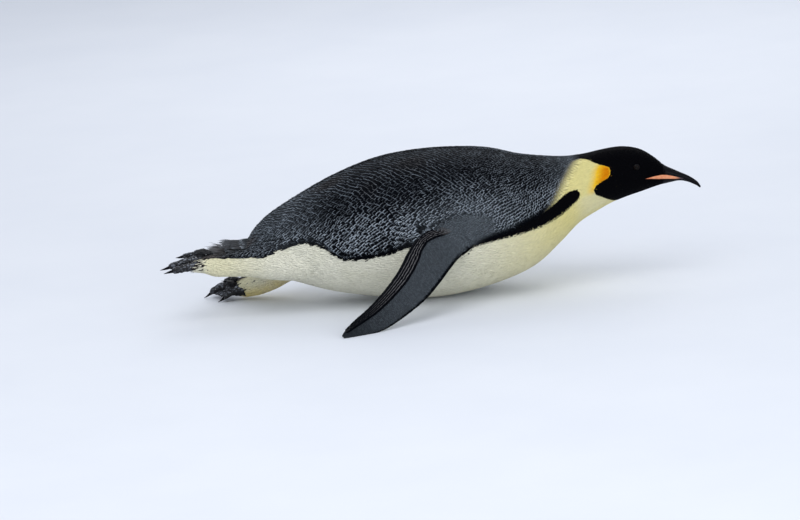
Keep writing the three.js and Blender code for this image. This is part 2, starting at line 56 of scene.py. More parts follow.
# Body sections from tail to bill tip: top x, top z, bottom x, bottom z, half width, fullness.
RIBS = {
    "tail_end": (-456, 147, -459, 126, 29, 2.0),
    "tail_mid": (-432, 150, -437, 114, 39, 2.0),
    "tail_root": (-407.5, 155, -415, 98, 51, 2.0),
    "rump_end": (-387, 181, -399, 86, 68, 2.0),
    "rump": (-353, 210, -368, 75, 87, 2.0),
    "hips": (-283, 249, -302, 52, 120, 2.05),
    "loin": (-200, 287.5, -227.5, 27, 144, 2.1),
    "waist": (-108.5, 317, -140.5, 9, 158, 2.15),
    "belly": (-18, 328, -52.5, -2.2, 164, 2.2),
    "chest": (71, 327.5, 36.5, -2.2, 162, 2.2),
    "shoulder": (141.5, 320, 140, 17, 149, 2.15),
    "breast": (202.5, 303, 225, 48, 126, 2.1),
    "neck_base": (260, 293.5, 286.5, 96, 99, 2.05),
    "neck": (308.5, 289, 330, 135.5, 77, 2.0),
    "nape": (351, 292, 372, 159, 61, 2.0),
    "occiput": (391.5, 298.5, 409, 176.5, 50, 2.0),
    "crown": (434, 301.5, 443, 188, 44.5, 2.05),
    "brow": (473.5, 293, 475, 196.5, 38.5, 2.1),
    "lore": (503.5, 273.5, 502.5, 204, 27, 2.1),
    "bill_base": (528.5, 251, 525, 208.5, 16.5, 2.1),
    "bill_mid": (554, 236, 554.5, 213.5, 10.5, 2.1),
    "nail_base": (579.5, 222.5, 574, 210, 6.8, 2.1),
    "nail": (597, 209, 591.5, 201.5, 4, 2.0),
    "tip": (605, 196.5, 602.5, 193.5, 1.3, 2.0),
}
RIB_ROWS = np.array(list(RIBS.values()), float)
RIB_ROWS[:, [0, 2]] += SHIFT_X
RIB_ROWS[:, :5] *= MM

MOUTH = np.array([(476, 229.5), (488, 232), (503, 236), (520, 237), (532, 234.5), (545, 230.5),
                  (563.5, 223.8), (579.5, 216), (591, 207.5), (598, 196), (600, 185)]) + (SHIFT_X, 0)
PLATE_UPPER = np.array([(481.5, 230.4), (492, 231.8), (503, 233.6), (519, 234), (532, 231.6),
                        (544.5, 227.6), (557, 223.2), (569, 218.8)]) + (SHIFT_X, 0)
PLATE_LOWER = np.array([(481.5, 230.4), (496, 227.6), (511, 224.2), (527, 222), (541, 220.2),
                        (555, 218.6), (569, 218.8)]) + (SHIFT_X, 0)
NOSTRIL = np.array([(545, 238.2), (554.5, 234.2)]) + (SHIFT_X, 0)

# Flippers: blade from shoulder to tip, right side. Stations: place along the blade, distance of
# trailing and leading edge from its axis, thickness.
FLIPPER_SHOULDER = (54.5 + SHIFT_X, -140, 178)
FLIPPER_TIP = (-196.5 + SHIFT_X, -347, 3.6)
FLIPPER_CHORD = (-0.653, 0.170, 0.738)
FLIPPER_STATIONS = np.array([
    (-0.13, 34, -30, 34), (0.0, 47, -44, 36), (0.1, 47, -51, 31), (0.2, 44, -55, 25),
    (0.33, 36.5, -61, 19), (0.45, 23.5, -64.5, 16), (0.56, 15.5, -62, 14), (0.69, 11, -55.5, 12),
    (0.8, 11, -47, 10.5), (0.89, 13, -33, 9), (0.96, 13.5, -17, 7.5), (1.01, 12.5, -4, 5.5),
    (1.03, 10, 3, 3)]) * (1, MM, MM, MM)

# Legs: centre, half width and half height at stations from hip to ankle.
LEGS = {
    "right": [(-280, -62, 116, 60, 50), (-345, -72, 117, 48, 43), (-400, -78, 120, 35, 33.5),
              (-445, -81, 120.5, 28, 29), (-475, -82, 121, 24, 27.5), (-492, -84, 123.5, 25, 24),
              (-510, -89, 125.5, 27, 18), (-529, -96, 124.5, 21, 14)],
    "left": [(-280, 60, 108, 60, 50), (-325, 76, 82, 50, 45), (-365, 88, 51, 38, 36),
             (-397, 94, 34, 30, 30), (-418, 98, 28, 26, 26.5), (-433, 100, 27, 23, 22)],
}
LEG_END = {name: len(rows) - 1 for name, rows in LEGS.items()}
LEG_ROWS = {name: (np.array(rows, float) + (SHIFT_X, 0, 0, 0, 0)) * MM for name, rows in LEGS.items()}

# Feet, soles up: each toe from root through knuckle to claw root and claw tip.
FEET = {
    "right": {
        "ankle": (-492, -82, 126), "heel": (19, 14), "palm": (-520, -80, 132), "palm_size": (29, 12),
        "sole": (-0.10, -0.36, 0.93),
        "toes": {"inner": ((-502, -62, 143), (-530, -49, 146), (-552, -42, 138.5), (-568, -39, 136.5)),
                 "middle": ((-510, -79, 136), (-546, -79, 137), (-582, -82, 125.5), (-603, -83, 121)),
                 "outer": ((-508, -97, 128), (-540, -106, 129), (-574, -113, 123.5), (-594, -115, 119.5))},
        "hallux": ((-504, -66, 127), (-510, -60, 126), (-516, -54, 125), (-526, -49, 123.5)),
        "heel_pad": ((-486, -68, 142), (-501, -68, 155), (-524, -66, 146)),
    },
    "left": {
        "ankle": (-431, 100, 26), "heel": (21, 18), "palm": (-452, 108, 28), "palm_size": (29, 16),
        "sole": (-0.40, -0.20, 0.89),
        "toes": {"inner": ((-444, 88, 21), (-460, 80, 19), (-472, 78, 9.5), (-487, 80, 0.6)),
                 "middle": ((-450, 104, 30), (-479, 117, 34), (-502, 126, 12), (-519, 131, 0.6)),
                 "outer": ((-448, 121, 29), (-469, 137, 29), (-489, 147, 12), (-505, 153, 0.6))},
        "hallux": ((-448, 88, 38), (-456, 86, 41), (-465, 84, 45), (-477, 82, 48)),
        "heel_pad": ((-442, 99, 43), (-451, 101, 47), (-468, 108, 37)),
    },
}

# ---- the coat -----------------------------------------------------------------------------------

SKIN_VOXEL = 0.0045
SKIN_SMOOTHING = 8
# In millimetres: depth of the coat over the skin and pitch of the rows on the back, by rib; then the pitch
# of rows and columns elsewhere.
COAT_DEPTH = ((0, 3, 11, 14, 16, 19), (3.0, 3.4, 3.0, 2.0, 1.3, 0.9))
BACK_ROWS = ((0, 2.5, 4.5, 5.5, 6.5, 8.2, 9.1, 10, 11, 13, 15),
             (4.0, 4.4, 4.9, 5.7, 6.0, 6.1, 5.4, 4.7, 4.4, 4.1, 3.4))
BACK_SLENDER = 1.64              # how much wider a feather's column is than its row
PALE_ROWS, PALE_COLUMNS = 4.8, 2.7
HEAD_ROWS, HEAD_COLUMNS = 3.1, 2.4
SHOULDER_ROWS, SHOULDER_COLUMNS = 3.3, 4.6
FRINGE_ROWS, FRINGE_COLUMNS = 3.2, 1.9
FRINGE = 4.6                     # degrees above the flank's edge where fine black fringe grows
FLIPPER_ROWS, FLIPPER_COLUMNS = 3.3, 2.7
LEG_PITCH = (4.3, 3.0)           # of a leg's rows and columns

# Markings on the body, as rib and angle above the side line in degrees: the edge between the dark back
# and the pale flank, and the lower and upper edge of the black band.
FLANK = ((0, -30), (1.08, -12), (2.0, -2), (2.85, -2.5), (3.97, -12), (4.23, -6), (4.41, -2.2), (4.81, 4.5),
         (5.2, 5.8), (5.58, 0.2), (5.86, -4.5), (6.04, -9.8), (6.29, -14.3), (6.55, -14.5), (6.85, -14),
         (7.16, -11.5), (7.44, -8.8), (7.85, -5), (8.1, -7), (8.5, -16), (9, -17), (9.22, -12.5), (9.6, -8))
# How much lower the edge lies on the left, where the back's coat runs down the thigh.
THIGH = ((3.9, 0), (4.02, -8), (4.15, -20), (4.35, -24), (4.5, -25), (4.62, -21), (4.74, -10), (4.84, 0))
BAND_LOW = ((8.4, -22), (9.0, -17.5), (9.22, -12.8), (9.4, -9.5), (9.6, -8), (10, -7.2), (10.5, -6.5),
            (11, -6.6), (11.25, -7.4), (11.5, -8.8), (11.86, -9.9), (12.2, -10.3), (12.66, -9.2),
            (13, -7.8), (13.3, -5.5))
BAND_HIGH = ((8.4, -14), (9.0, -13), (9.3, -9), (9.6, -7.0), (9.8, -6.2), (10, -5.3), (10.25, -4.1),
             (10.5, -2.6), (10.75, -0.8), (11.06, 1.0), (11.44, 2.4), (11.72, 4.2), (12.1, 7.3),
             (12.38, 10.6), (12.71, 13.4), (13.04, 12.2), (13.3, 9))
BAND_START, BAND_END = 8.9, 13.33
BAND_ROUND, BAND_TILT, BAND_HALF = 0.28, 2.5, 11         # how round its front end is, about what angle
# By angle: the ribs at which the slate of the neck has half given way to yellow, the patch turns to
# gold and the black hood begins.
GREY_FRONT = ((-20, 11.6), (1.5, 11.84), (9.8, 12.14), (27, 12.6), (44, 13.05), (66.5, 13.52), (75, 13.8),
              (90, 14))
GOLD_BACK = ((-12, 13.9), (0, 13.98), (7.8, 14.06), (17, 14.22), (29, 14.36), (37.8, 14.56), (48, 14.95),
             (60, 15.4))
HOOD_FRONT = ((-90, 15.5), (-70, 15.2), (-44.5, 14.77), (-28, 14.42), (-16, 14.1), (-4, 14.05),
              (2.2, 14.26), (4, 14.62), (6.2, 14.98), (11.5, 15.13), (18.2, 15.18), (26, 15.16),
              (32, 14.98), (38.5, 14.7), (48, 14.42), (57.5, 14.21), (63.5, 14.04), (68, 13.82),
              (74, 13.75), (90, 13.75))
# The bare-looking shoulder over the flipper: rib and angle of its middle, and its half widths.
SHOULDER = (9.32, 3, 0.95, 15)
# Dark top of a leg: station and the angle above the outer side at which it begins.
LEG_DARK = ((0, 95), (0.7, 70), (1.05, 42), (1.4, 28), (2, 36), (3.07, 46), (4.42, 58), (5, 66), (6, 92),
            (7, 100))
# Rows of long feathers along a flipper's trailing edge: place along the blade, chord place of the first
# and last row.
ROW_PATH = ((-0.02, 0.40, 0.45), (0.016, 0.46, 0.56), (0.078, 0.56, 0.73), (0.132, 0.68, 0.86),
            (0.184, 0.79, 0.95), (0.24, 0.83, 0.985), (0.30, 0.79, 0.985), (0.344, 0.73, 0.985),
            (0.5, 0.72, 0.985), (0.8, 0.74, 0.985), (1.0, 0.80, 0.98))

# How light the tips are over the top of the back and over the flank, by rib, and the angles between which the
# one gives way to the other. The flank's lighter tips are partly painted sheen.
TOP_TIPS = ((0, 0.9), (3.5, 0.85), (5, 0.7), (6.5, 0.5), (9, 0.41), (10, 0.5), (12.5, 0.64))
FLANK_TIPS = ((5.2, 1.0), (6.2, 1.06), (7.0, 1.2), (8.4, 1.2), (9.2, 1.1))
FLANK_LOW, FLANK_HIGH = ((7.1, 4), (8.4, 9)), ((7.1, 36), (8.4, 50))

# The feet's light colour: worn tops of the scutes, and painted highlight.
# groove: the slate feathers' dark base, near-black as painted shade in the grooves.
# tip: the pale tips of the slate feathers, strongest on the lit edge as painted highlight.
COLOURS = {
    "groove": "#020409", "tip": "#a4aeb8", "brown": "#6d645f", "grey": "#50565b", "jet": "#030306",
    "cream": "#e6e4d4", "shade": "#d9d7bf", "neck": "#e6db96", "gold": "#fac82a", "orange": "#dd8407",
    "crack": "#05060a", "scute": "#767b84", "speck": "#c0c2c4", "lid": "#050507", "lid_fold": "#111115",
    "bill": "#030304", "bill_worn": "#131317", "claw": "#040407", "claw_worn": "#15161c",
    "salmon": "#cf7c52", "salmon_pale": "#e0976a", "gape": "#c0562f", "stain": "#33222a",
    "iris": "#090504", "iris_streak": "#1d110b", "pupil": "#030303", "eye_rim": "#050404",
    "floor": "#d9dde4", "floor_pale": "#e2e5ea", "sky": "#e3e8f2",
}


def linear(code):
    """sRGB hex code as a linear colour with alpha."""
    parts = [int(code[i:i + 2], 16) / 255 for i in (1, 3, 5)]
    parts = [c / 12.92 if c <= 0.04045 else ((c + 0.055) / 1.055) ** 2.4 for c in parts]
    return (*parts, 1.0)


# ---- arrays -------------------------------------------------------------------------------------

WAVE_COUNT = 10                  # how many waves add up to a noise


def spline(values, u):
    """Catmull-Rom curve through equally spaced rows of values, held at both ends."""
    values = np.asarray(values, float)
    last = len(values) - 1
    u = np.asarray(u, float)
    i = np.clip(np.floor(u).astype(int), 0, last - 1)
    t = u - i
    if values.ndim > 1:
        t = t[..., None]
    before, start = values[np.maximum(i - 1, 0)], values[i]
    end, after = values[i + 1], values[np.minimum(i + 2, last)]
    bend = 2 * before - 5 * start + 4 * end - after
    swing = 3 * start - before - 3 * end + after
    return 0.5 * (2 * start + (end - before) * t + bend * t ** 2 + swing * t ** 3)


def smooth(a, b, x):
    """0 below a, 1 above b, with an S curve between."""
    t = np.clip((x - a) / (b - a), 0, 1)
    return t * t * (3 - 2 * t)


def mix(a, b, t):
    return a + (b - a) * t


def unit(v):
    return v / np.maximum(np.linalg.norm(v, axis=-1, keepdims=True), 1e-12)


def dot(a, b):
    return (a * b).sum(-1, keepdims=True)


def waves(points, size, seed):
    """Smooth noise of about -1 to 1: the sum of sine waves of one length in random directions."""
    draw = np.random.default_rng(seed)
    way = draw.normal(size=(points.shape[-1], WAVE_COUNT))
    way *= 2 * math.pi / (size * np.linalg.norm(way, axis=0))
    phase = draw.uniform(0, 2 * math.pi, WAVE_COUNT)
    return np.sin(points @ way + phase).sum(-1) * (0.9 / math.sqrt(WAVE_COUNT))


def turned(v, axis, angle):
    """Rotation of v about a unit axis at right angles to it."""
    return v * np.cos(angle)[..., None] + np.cross(axis, v) * np.sin(angle)[..., None]


def table(pairs, x):
    points = np.array(pairs, float)
    return np.interp(x, points[:, 0], points[:, 1])


def circle(count):
    """Angles evenly round a circle."""
    return np.linspace(0, 2 * math.pi, count, endpoint=False)


def oval(middle, across, over, wide, high, angle):
    """Points round an ellipse about the middle, in the plane of the directions across and over."""
    return middle + across * (wide * np.cos(angle))[..., None] + over * (high * np.sin(angle))[..., None]


def bow(a, b, c, t):
    """Places t (0 to 1) on the quadratic curve from a to c that bends towards b."""
    return (1 - t) ** 2 * a + 2 * t * (1 - t) * b + t ** 2 * c


def bow_way(a, b, c, t):
    """Unit directions of that curve."""
    return unit((1 - t) * (b - a) + t * (c - b))


def square(values):
    """Values stretched over 0 to 1."""
    return (values - values.min()) / max(np.ptp(values), 1e-9)


# ---- surfaces of the bird -----------------------------------------------------------------------

PLACE_HALVINGS = 26              # how often the search for a section halves its range


def sections(u):
    """Middle, unit direction up, half height, half width and fullness of the body's sections."""
    row = spline(RIB_ROWS, u)
    top, bottom = row[..., 0:2], row[..., 2:4]
    reach = np.linalg.norm(top - bottom, axis=-1) / 2
    return (top + bottom) / 2, (top - bottom) / (2 * reach[..., None]), reach, row[..., 4], row[..., 5]


def body_point(u, angle, inset=0.0):
    """Point of the body at rib place u and angle (radians, 0 left, pi/2 top): a superellipse in the
    plane through the section's top and bottom, shrunk by the inset."""
    middle, up, reach, wide, full = sections(u)
    c, s = np.cos(angle), np.sin(angle)
    across = (wide - inset) * np.sign(c) * np.abs(c) ** (2 / full)
    along = (reach - inset) * np.sign(s) * np.abs(s) ** (2 / full)
    middle = middle + up * along[..., None]
    return np.stack([middle[..., 0], across, middle[..., 1]], -1)


def body_place(points):
    """Rib place u, angle above the side line (degrees) and share of the section's reach of points in
    space: u by halving between the section planes, the rest from the superellipse through the point."""
    x, z = points[..., 0], points[..., 2]
    low, high = np.zeros_like(x), np.full_like(x, len(RIBS) - 1.0)
    for _ in range(PLACE_HALVINGS):
        u = (low + high) / 2
        row = spline(RIB_ROWS, u)
        up = row[..., 0:2] - row[..., 2:4]
        ahead = (x - row[..., 2]) * up[..., 1] - (z - row[..., 3]) * up[..., 0]
        low, high = np.where(ahead > 0, u, low), np.where(ahead > 0, high, u)
    middle, up, reach, wide, full = sections(u)
    along = ((x - middle[..., 0]) * up[..., 0] + (z - middle[..., 1]) * up[..., 1]) / reach
    across = np.abs(points[..., 1]) / wide
    angle = np.arctan2(np.sign(along) * np.abs(along) ** (full / 2), across ** (full / 2))
    share = (np.abs(along) ** full + across ** full) ** (1 / full)
    return u, np.degrees(angle), share


def side_of_body(x, z):
    """Half width of the body at points (x, z) of the middle plane."""
    u, _, share = body_place(np.stack([x, np.zeros_like(x), z], -1))
    _, _, _, wide, full = sections(u)
    return wide * (1 - np.minimum(share, 1) ** full) ** (1 / full)


def flipper_frame(side):
    """Shoulder, axis, unit chord and unit outer face of a flipper."""
    mirror = np.array([1, -side, 1])
    shoulder = np.array(FLIPPER_SHOULDER) * mirror * MM
    axis = np.array(FLIPPER_TIP) * mirror * MM - shoulder
    chord = unit(np.array(FLIPPER_CHORD) * mirror)
    return shoulder, axis, chord, unit(np.cross(axis, chord)) * side


def flipper_point(u, q, face, side, inset=0.0):
    """Point of a flipper at station place u, chord place q (0 leading, 1 trailing edge), on the outer
    (face 1) or inner (face -1) side: a cambered aerofoil section carried along the blade."""
    shoulder, axis, chord, out = flipper_frame(side)
    at, trail, lead, thick = np.moveaxis(spline(FLIPPER_STATIONS, u), -1, 0)
    trail, lead = trail - inset, lead + inset
    camber = 1.05 * np.sqrt(q) * (1 - 0.55 * q) - 0.1 * q
    height = np.where(face > 0, camber + 0.12, -0.55 * camber - 0.06) * thick * 0.62
    height = height - np.sign(face) * np.minimum(inset, 0.4 * np.abs(height))
    return (shoulder + at[..., None] * axis + mix(lead, trail, q)[..., None] * chord
            + height[..., None] * out)


def leg_point(name, u, angle, inset=0.0):
    """Point of a leg at station place u and angle round it: an ellipse carried along its middle."""
    row = spline(LEG_ROWS[name], u)
    ahead = unit(spline(LEG_ROWS[name], u + 0.02)[..., :3] - spline(LEG_ROWS[name], u - 0.02)[..., :3])
    across = unit(np.cross(np.array([0, 0, 1.0]), ahead))
    up = np.cross(ahead, across)
    return oval(row[..., :3], across, up, row[..., 3] - inset, row[..., 4] - inset, angle)


# ---- meshes -------------------------------------------------------------------------------------

def linked(name, data):
    """A new object of the data, in the scene."""
    obj = bpy.data.objects.new(name, data)
    bpy.context.scene.collection.objects.link(obj)
    return obj


def add_marks(mesh, marks):
    """Values per vertex, which the materials read."""
    for key, values in marks.items():
        layer = mesh.attributes.new(key, "FLOAT", "POINT")
        layer.data.foreach_set("value", np.asarray(values, np.float32).ravel())


def mesh_object(name, points, faces, smooth_faces=True, marks=None):
    """Mesh object from arrays: points (n, 3), and one or more index arrays of quads or triangles."""
    blocks = [np.asarray(f) for f in (faces if isinstance(faces, (list, tuple)) else [faces])]
    mesh = bpy.data.meshes.new(name)
    mesh.vertices.add(len(points))
    mesh.vertices.foreach_set("co", np.asarray(points, np.float32).ravel())
    corners = np.concatenate([b.ravel() for b in blocks])
    sizes = np.concatenate([np.full(len(b), b.shape[1]) for b in blocks])
    mesh.loops.add(len(corners))
    mesh.loops.foreach_set("vertex_index", corners.astype(np.int32))
    mesh.polygons.add(len(sizes))
    starts = np.concatenate([[0], np.cumsum(sizes)[:-1]])
    mesh.polygons.foreach_set("loop_start", starts.astype(np.int32))
    flags = np.full(len(sizes), smooth_faces) if isinstance(smooth_faces, bool) else smooth_faces
    mesh.polygons.foreach_set("use_smooth", flags)
    add_marks(mesh, marks or {})
    mesh.update(calc_edges=True)
    mesh.validate()
    return linked(name, mesh)


def ring_quads(rows, columns, closed=False):
    """Faces between rings of points, and from the last ring to the first if closed."""
    i, k = np.meshgrid(np.arange(rows if closed else rows - 1), np.arange(columns), indexing="ij")
    after, down = (k + 1) % columns, (i + 1) % rows * columns
    corners = (i * columns + k, i * columns + after, down + after, down + k)
    return np.stack([corner.ravel() for corner in corners], -1)


def tube(rings):
    """Points and faces of a closed tube through rings (rows, columns, 3), with a fan about the middle of
    the first and last ring."""
    rows, columns, _ = rings.shape
    points = np.concatenate([rings.reshape(-1, 3), [rings[0].mean(0), rings[-1].mean(0)]])
    k = np.arange(columns)
    after, end = (k + 1) % columns, (rows - 1) * columns
    first, last = rows * columns, rows * columns + 1
    fans = np.concatenate([np.stack([np.full(columns, first), after, k], -1),
                           np.stack([np.full(columns, last), end + k, end + after], -1)])
    return points, [ring_quads(rows, columns), fans]


def facing_out(points, faces):
    """The faces, turned if the volume that they enclose comes out negative."""
    volume = 0.0
    for block in faces:
        corner = points[block]
        for j in range(1, block.shape[1] - 1):
            volume += (corner[:, 0] * np.cross(corner[:, j], corner[:, j + 1])).sum()
    return faces if volume > 0 else [block[:, ::-1] for block in faces]


def solid_tube(name, rings):
    points, faces = tube(rings)
    return mesh_object(name, points, facing_out(points, faces))


def torus(name, rings):
    """Closed band from rings that close on themselves both ways."""
    points = rings.reshape(-1, 3)
    return mesh_object(name, points, facing_out(points, [ring_quads(*rings.shape[:2], closed=True)]))


def joined(name, parts):
    """One mesh from several (points, faces) pairs."""
    points, quads, triangles, start = [], [], [], 0
    for part_points, part_faces in parts:
        for block in facing_out(part_points, part_faces):
            (quads if block.shape[1] == 4 else triangles).append(block + start)
        points.append(part_points)
        start += len(part_points)
    blocks = [np.concatenate(group) for group in (quads, triangles) if group]
    return mesh_object(name, np.concatenate(points), blocks)


def remeshed(obj, voxel, smoothing):
    """One closed surface round overlapping ones: a voxel remesh, then smoothing."""
    grid = obj.modifiers.new("grid", "REMESH")
    grid.mode, grid.voxel_size, grid.use_smooth_shade = "VOXEL", voxel, True
    soft = obj.modifiers.new("soft", "SMOOTH")
    soft.factor, soft.iterations = 0.5, smoothing
    graph = bpy.context.evaluated_depsgraph_get()
    done = bpy.data.meshes.new_from_object(obj.evaluated_get(graph))
    obj.modifiers.clear()
    obj.data = done
    return obj


def read(items, key, size=1, kind=np.float32):
    """One property of all vertices, loops or triangles of a mesh, a row of the size for each."""
    values = np.empty(len(items) * size, kind)
    items.foreach_get(key, values)
    return values.reshape(-1, size)


def points_of(obj):
    return read(obj.data.vertices, "co", 3).astype(float)


def set_points(obj, points):
    obj.data.vertices.foreach_set("co", points.astype(np.float32).ravel())
    obj.data.update()


def arrays_of(obj):
    """Points, triangles and vertex normals of a mesh."""
    mesh = obj.data
    mesh.calc_loop_triangles()
    triangles = read(mesh.loop_triangles, "vertices", 3, np.int32)
    return points_of(obj), triangles, read(mesh.vertex_normals, "vector", 3).astype(float)


# ---- feathers -----------------------------------------------------------------------------------

# Rings of a feather: place along it, half width and height of its crest, as shares of its sizes.
CONTOUR = np.array([(0.0, 0.30, 0.2), (0.3, 0.80, 0.8), (0.56, 1.0, 1.0), (0.80, 0.60, 0.8)])
VELVET = np.array([(0.0, 0.5, 0.3), (0.45, 1.0, 1.0), (0.82, 0.72, 0.8)])
SILK = np.array([(0.0, 0.5, 0.3), (0.5, 1.0, 1.0), (0.86, 0.5, 0.8)])
BLADE = np.array([(0.0, 0.4, 0.3), (0.3, 0.85, 0.9), (0.6, 1.0, 1.0), (0.82, 0.86, 0.8),
                  (0.94, 0.5, 0.5)])
LONG_BLADE = np.array([(0.0, 0.4, 0.6), (0.12, 0.62, 0.8), (0.3, 0.85, 1.0), (0.5, 1.0, 1.0),
                       (0.68, 1.0, 0.9), (0.82, 0.86, 0.8), (0.92, 0.62, 0.6), (0.97, 0.36, 0.4)])
OVERLAP_SINK = 0.0007            # how deep the roots sit, under the feathers that lie over them
BAKE_PATCH = 0.003               # size of a feather's patch of the bake map
FLOOR_CLEAR = 0.0002             # nothing comes nearer to the floor than this


def vane_places(shape):
    """Place along the vane and side (-1, 0 at the crest, 1) of each of its vertices, the tip last."""
    along = np.append(np.repeat(shape[:, 0], 3), 1.0)
    return along, np.append(np.tile([-1.0, 0.0, 1.0], len(shape)), 0.0)


def vanes(root, root_normal, tip, tip_normal, width, thick, lift, shape=CONTOUR):
    """Closed vanes from root to tip: triangular rings whose middle follows a cubic from root to tip
    over the skin, whose crest stands up by the thickness, and which rise to the lift at the tip."""
    count, rings = len(root), len(shape)
    span = tip - root
    length = np.linalg.norm(span, axis=-1, keepdims=True)
    leave = unit(span - root_normal * dot(span, root_normal)) * length
    arrive = unit(span - tip_normal * dot(span, tip_normal)) * length
    t = shape[:, 0][None, :, None]
    h00, h10 = 2 * t ** 3 - 3 * t ** 2 + 1, t ** 3 - 2 * t ** 2 + t
    h01, h11 = -2 * t ** 3 + 3 * t ** 2, t ** 3 - t ** 2
    middle = root[:, None] * h00 + leave[:, None] * h10 + tip[:, None] * h01 + arrive[:, None] * h11
    normal = unit(root_normal[:, None] * (1 - t) + tip_normal[:, None] * t)
    across = unit(np.cross(normal, span[:, None]))
    sink = np.minimum(OVERLAP_SINK, 4 * thick)[:, None, None]
    rise = lift[:, None, None] * t ** 0.85 - sink * (1 - t) ** 2
    half = (width / 2)[:, None, None] * shape[:, 1][None, :, None]
    crest = thick[:, None, None] * shape[:, 2][None, :, None]
    centre = middle + normal * rise
    ring = np.stack([centre - across * half, centre + normal * crest, centre + across * half], 2)
    end = tip + tip_normal * lift[:, None]
    points = np.concatenate([ring.reshape(count, rings * 3, 3), end[:, None]], 1)
    along, side = vane_places(shape)
    return points, np.tile(along, (count, 1)), np.tile(side, (count, 1))


def vane_faces(rings):
    """Faces of one vane: per segment a left and a right slope and the underside, a closed root and a
    fan at the tip. Also says which faces are smooth: all but the underside and the root."""
    quads, smooth_quads = [], []
    for i in range(rings - 1):
        a = 3 * i
        quads += [(a, a + 3, a + 4, a + 1), (a + 1, a + 4, a + 5, a + 2), (a + 2, a + 5, a + 3, a)]
        smooth_quads += [True, True, False]
    a, end = 3 * (rings - 1), 3 * rings
    triangles = [(a, end, a + 1), (a + 1, end, a + 2), (a + 2, end, a), (0, 1, 2)]
    return np.array(quads), np.array(triangles), smooth_quads, [True, True, False, False]


def vane_object(name, points, along, side, place, marks, rings):
    """One mesh of many vanes. Marks are values per vane; place (0 to 1, both ways) is the vane's spot
    on the unwrap of the skin, where its patch of the bake map goes."""
    count, each = points.shape[:2]
    quads, triangles, smooth_quads, smooth_triangles = vane_faces(rings)
    start = (np.arange(count) * each)[:, None, None]
    blocks = [(quads[None] + start).reshape(-1, 4), (triangles[None] + start).reshape(-1, 3)]
    flags = np.concatenate([np.tile(smooth_quads, count), np.tile(smooth_triangles, count)])
    marks = {key: np.repeat(value, each) if value.ndim == 1 else value for key, value in marks.items()}
    marks.update(along=along, side=side)
    flat = points.reshape(-1, 3).copy()
    flat[:, 2] = np.maximum(flat[:, 2], FLOOR_CLEAR)
    obj = mesh_object(name, flat, blocks, flags, marks)
    patch = np.stack([side * 0.5, along - 0.5], -1) * BAKE_PATCH
    uv = (place[:, None] * (1 - 2 * BAKE_PATCH) + BAKE_PATCH + patch).reshape(-1, 2)
    layer = obj.data.uv_layers.new(name="OFBake")
    corner = read(obj.data.loops, "vertex_index", kind=np.int32).ravel()
    layer.data.foreach_set("uv", uv[corner].astype(np.float32).ravel())
    return obj


# ---- skin ---------------------------------------------------------------------------------------

BODY_END = 19.35                 # the skin ends inside the bill
FLIPPER_INSET = 1.0 * MM
LEG_INSET = 2.4 * MM
# Stations between which a flipper's root is fused with the body, and those of its blade.
STUB, BLADE_SPAN = (0.2, 3.6), (1.2, 12)
EYE_DEPTH = 4.5 * MM             # how far the skin sinks under the eye
EYE_DENT = (1.15, 0.6)           # where it starts and where it is full, in radii of the eye
# Rings along each part and points round them; a flipper's are those of its outer face.
BODY_GRID, LEG_GRID, STUB_RINGS, BLADE_RINGS, FACE_POINTS = (330, 112), (90, 48), 30, 120, 26


def coat_depth(u):
    return np.interp(u, *COAT_DEPTH) * MM


def ring_grid(end, grid):
    """Places from 0 to the end and angles round, as two arrays of a ring's points each."""
    return np.meshgrid(np.linspace(0, end, grid[0]), circle(grid[1]), indexing="ij")


def body_rings():
    u, angle = ring_grid(BODY_END, BODY_GRID)
    return body_point(u, angle, coat_depth(u))


def leg_rings(name):
    u, angle = ring_grid(LEG_END[name], LEG_GRID)
    return leg_point(name, u, angle, LEG_INSET)


def flipper_rings(side, span, rows):
    """Rings of a flipper: outer face from leading to trailing edge, then the inner face back."""
    u = np.linspace(*span, rows)[:, None]
    q = (1 - np.cos(np.linspace(0, math.pi, FACE_POINTS))) / 2
    faces = [(q, 1), (q[::-1][1:-1], -1)]
    return np.concatenate([flipper_point(u + 0 * q, q + 0 * u, face, side, FLIPPER_INSET)
                           for q, face in faces], 1)


def eye_place(name):
    """Centre and radius of an eyeball, from the frame."""
    low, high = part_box(f"eye_{name}")
    low, high = np.array(low), np.array(high)
    return (low + high) / 2, (high - low).max() / 2


def make_skin():
    """One closed skin: body, legs and flipper roots fused by a remesh, sunk under the eyes and flat on
    the floor, with the thin blades of the flippers set on their roots."""
    fused = [tube(body_rings())]
    fused += [tube(leg_rings(name)) for name in SIDES]
    fused += [tube(flipper_rings(side, STUB, STUB_RINGS)) for side in SIDES.values()]
    core = remeshed(joined("core", fused), SKIN_VOXEL, SKIN_SMOOTHING)
    points = points_of(core)
    for name, side in SIDES.items():
        centre, radius = eye_place(name)
        off = np.hypot(points[:, 0] - centre[0], points[:, 2] - centre[2])
        near = smooth(EYE_DENT[0] * radius, EYE_DENT[1] * radius, off) * (points[:, 1] * side > 0)
        points[:, 1] -= side * EYE_DEPTH * near
    set_points(core, points)
    blades = [tube(flipper_rings(side, BLADE_SPAN, BLADE_RINGS)) for side in SIDES.values()]
    both = [core, joined("blades", blades)]
    with bpy.context.temp_override(active_object=core, object=core, selected_editable_objects=both):
        bpy.ops.object.join()
    points = points_of(core)
    points[:, 2] = np.maximum(points[:, 2], 2 * FLOOR_CLEAR)
    set_points(core, points)
    core.name = core.data.name = "skin"
    return core


skin = make_skin()


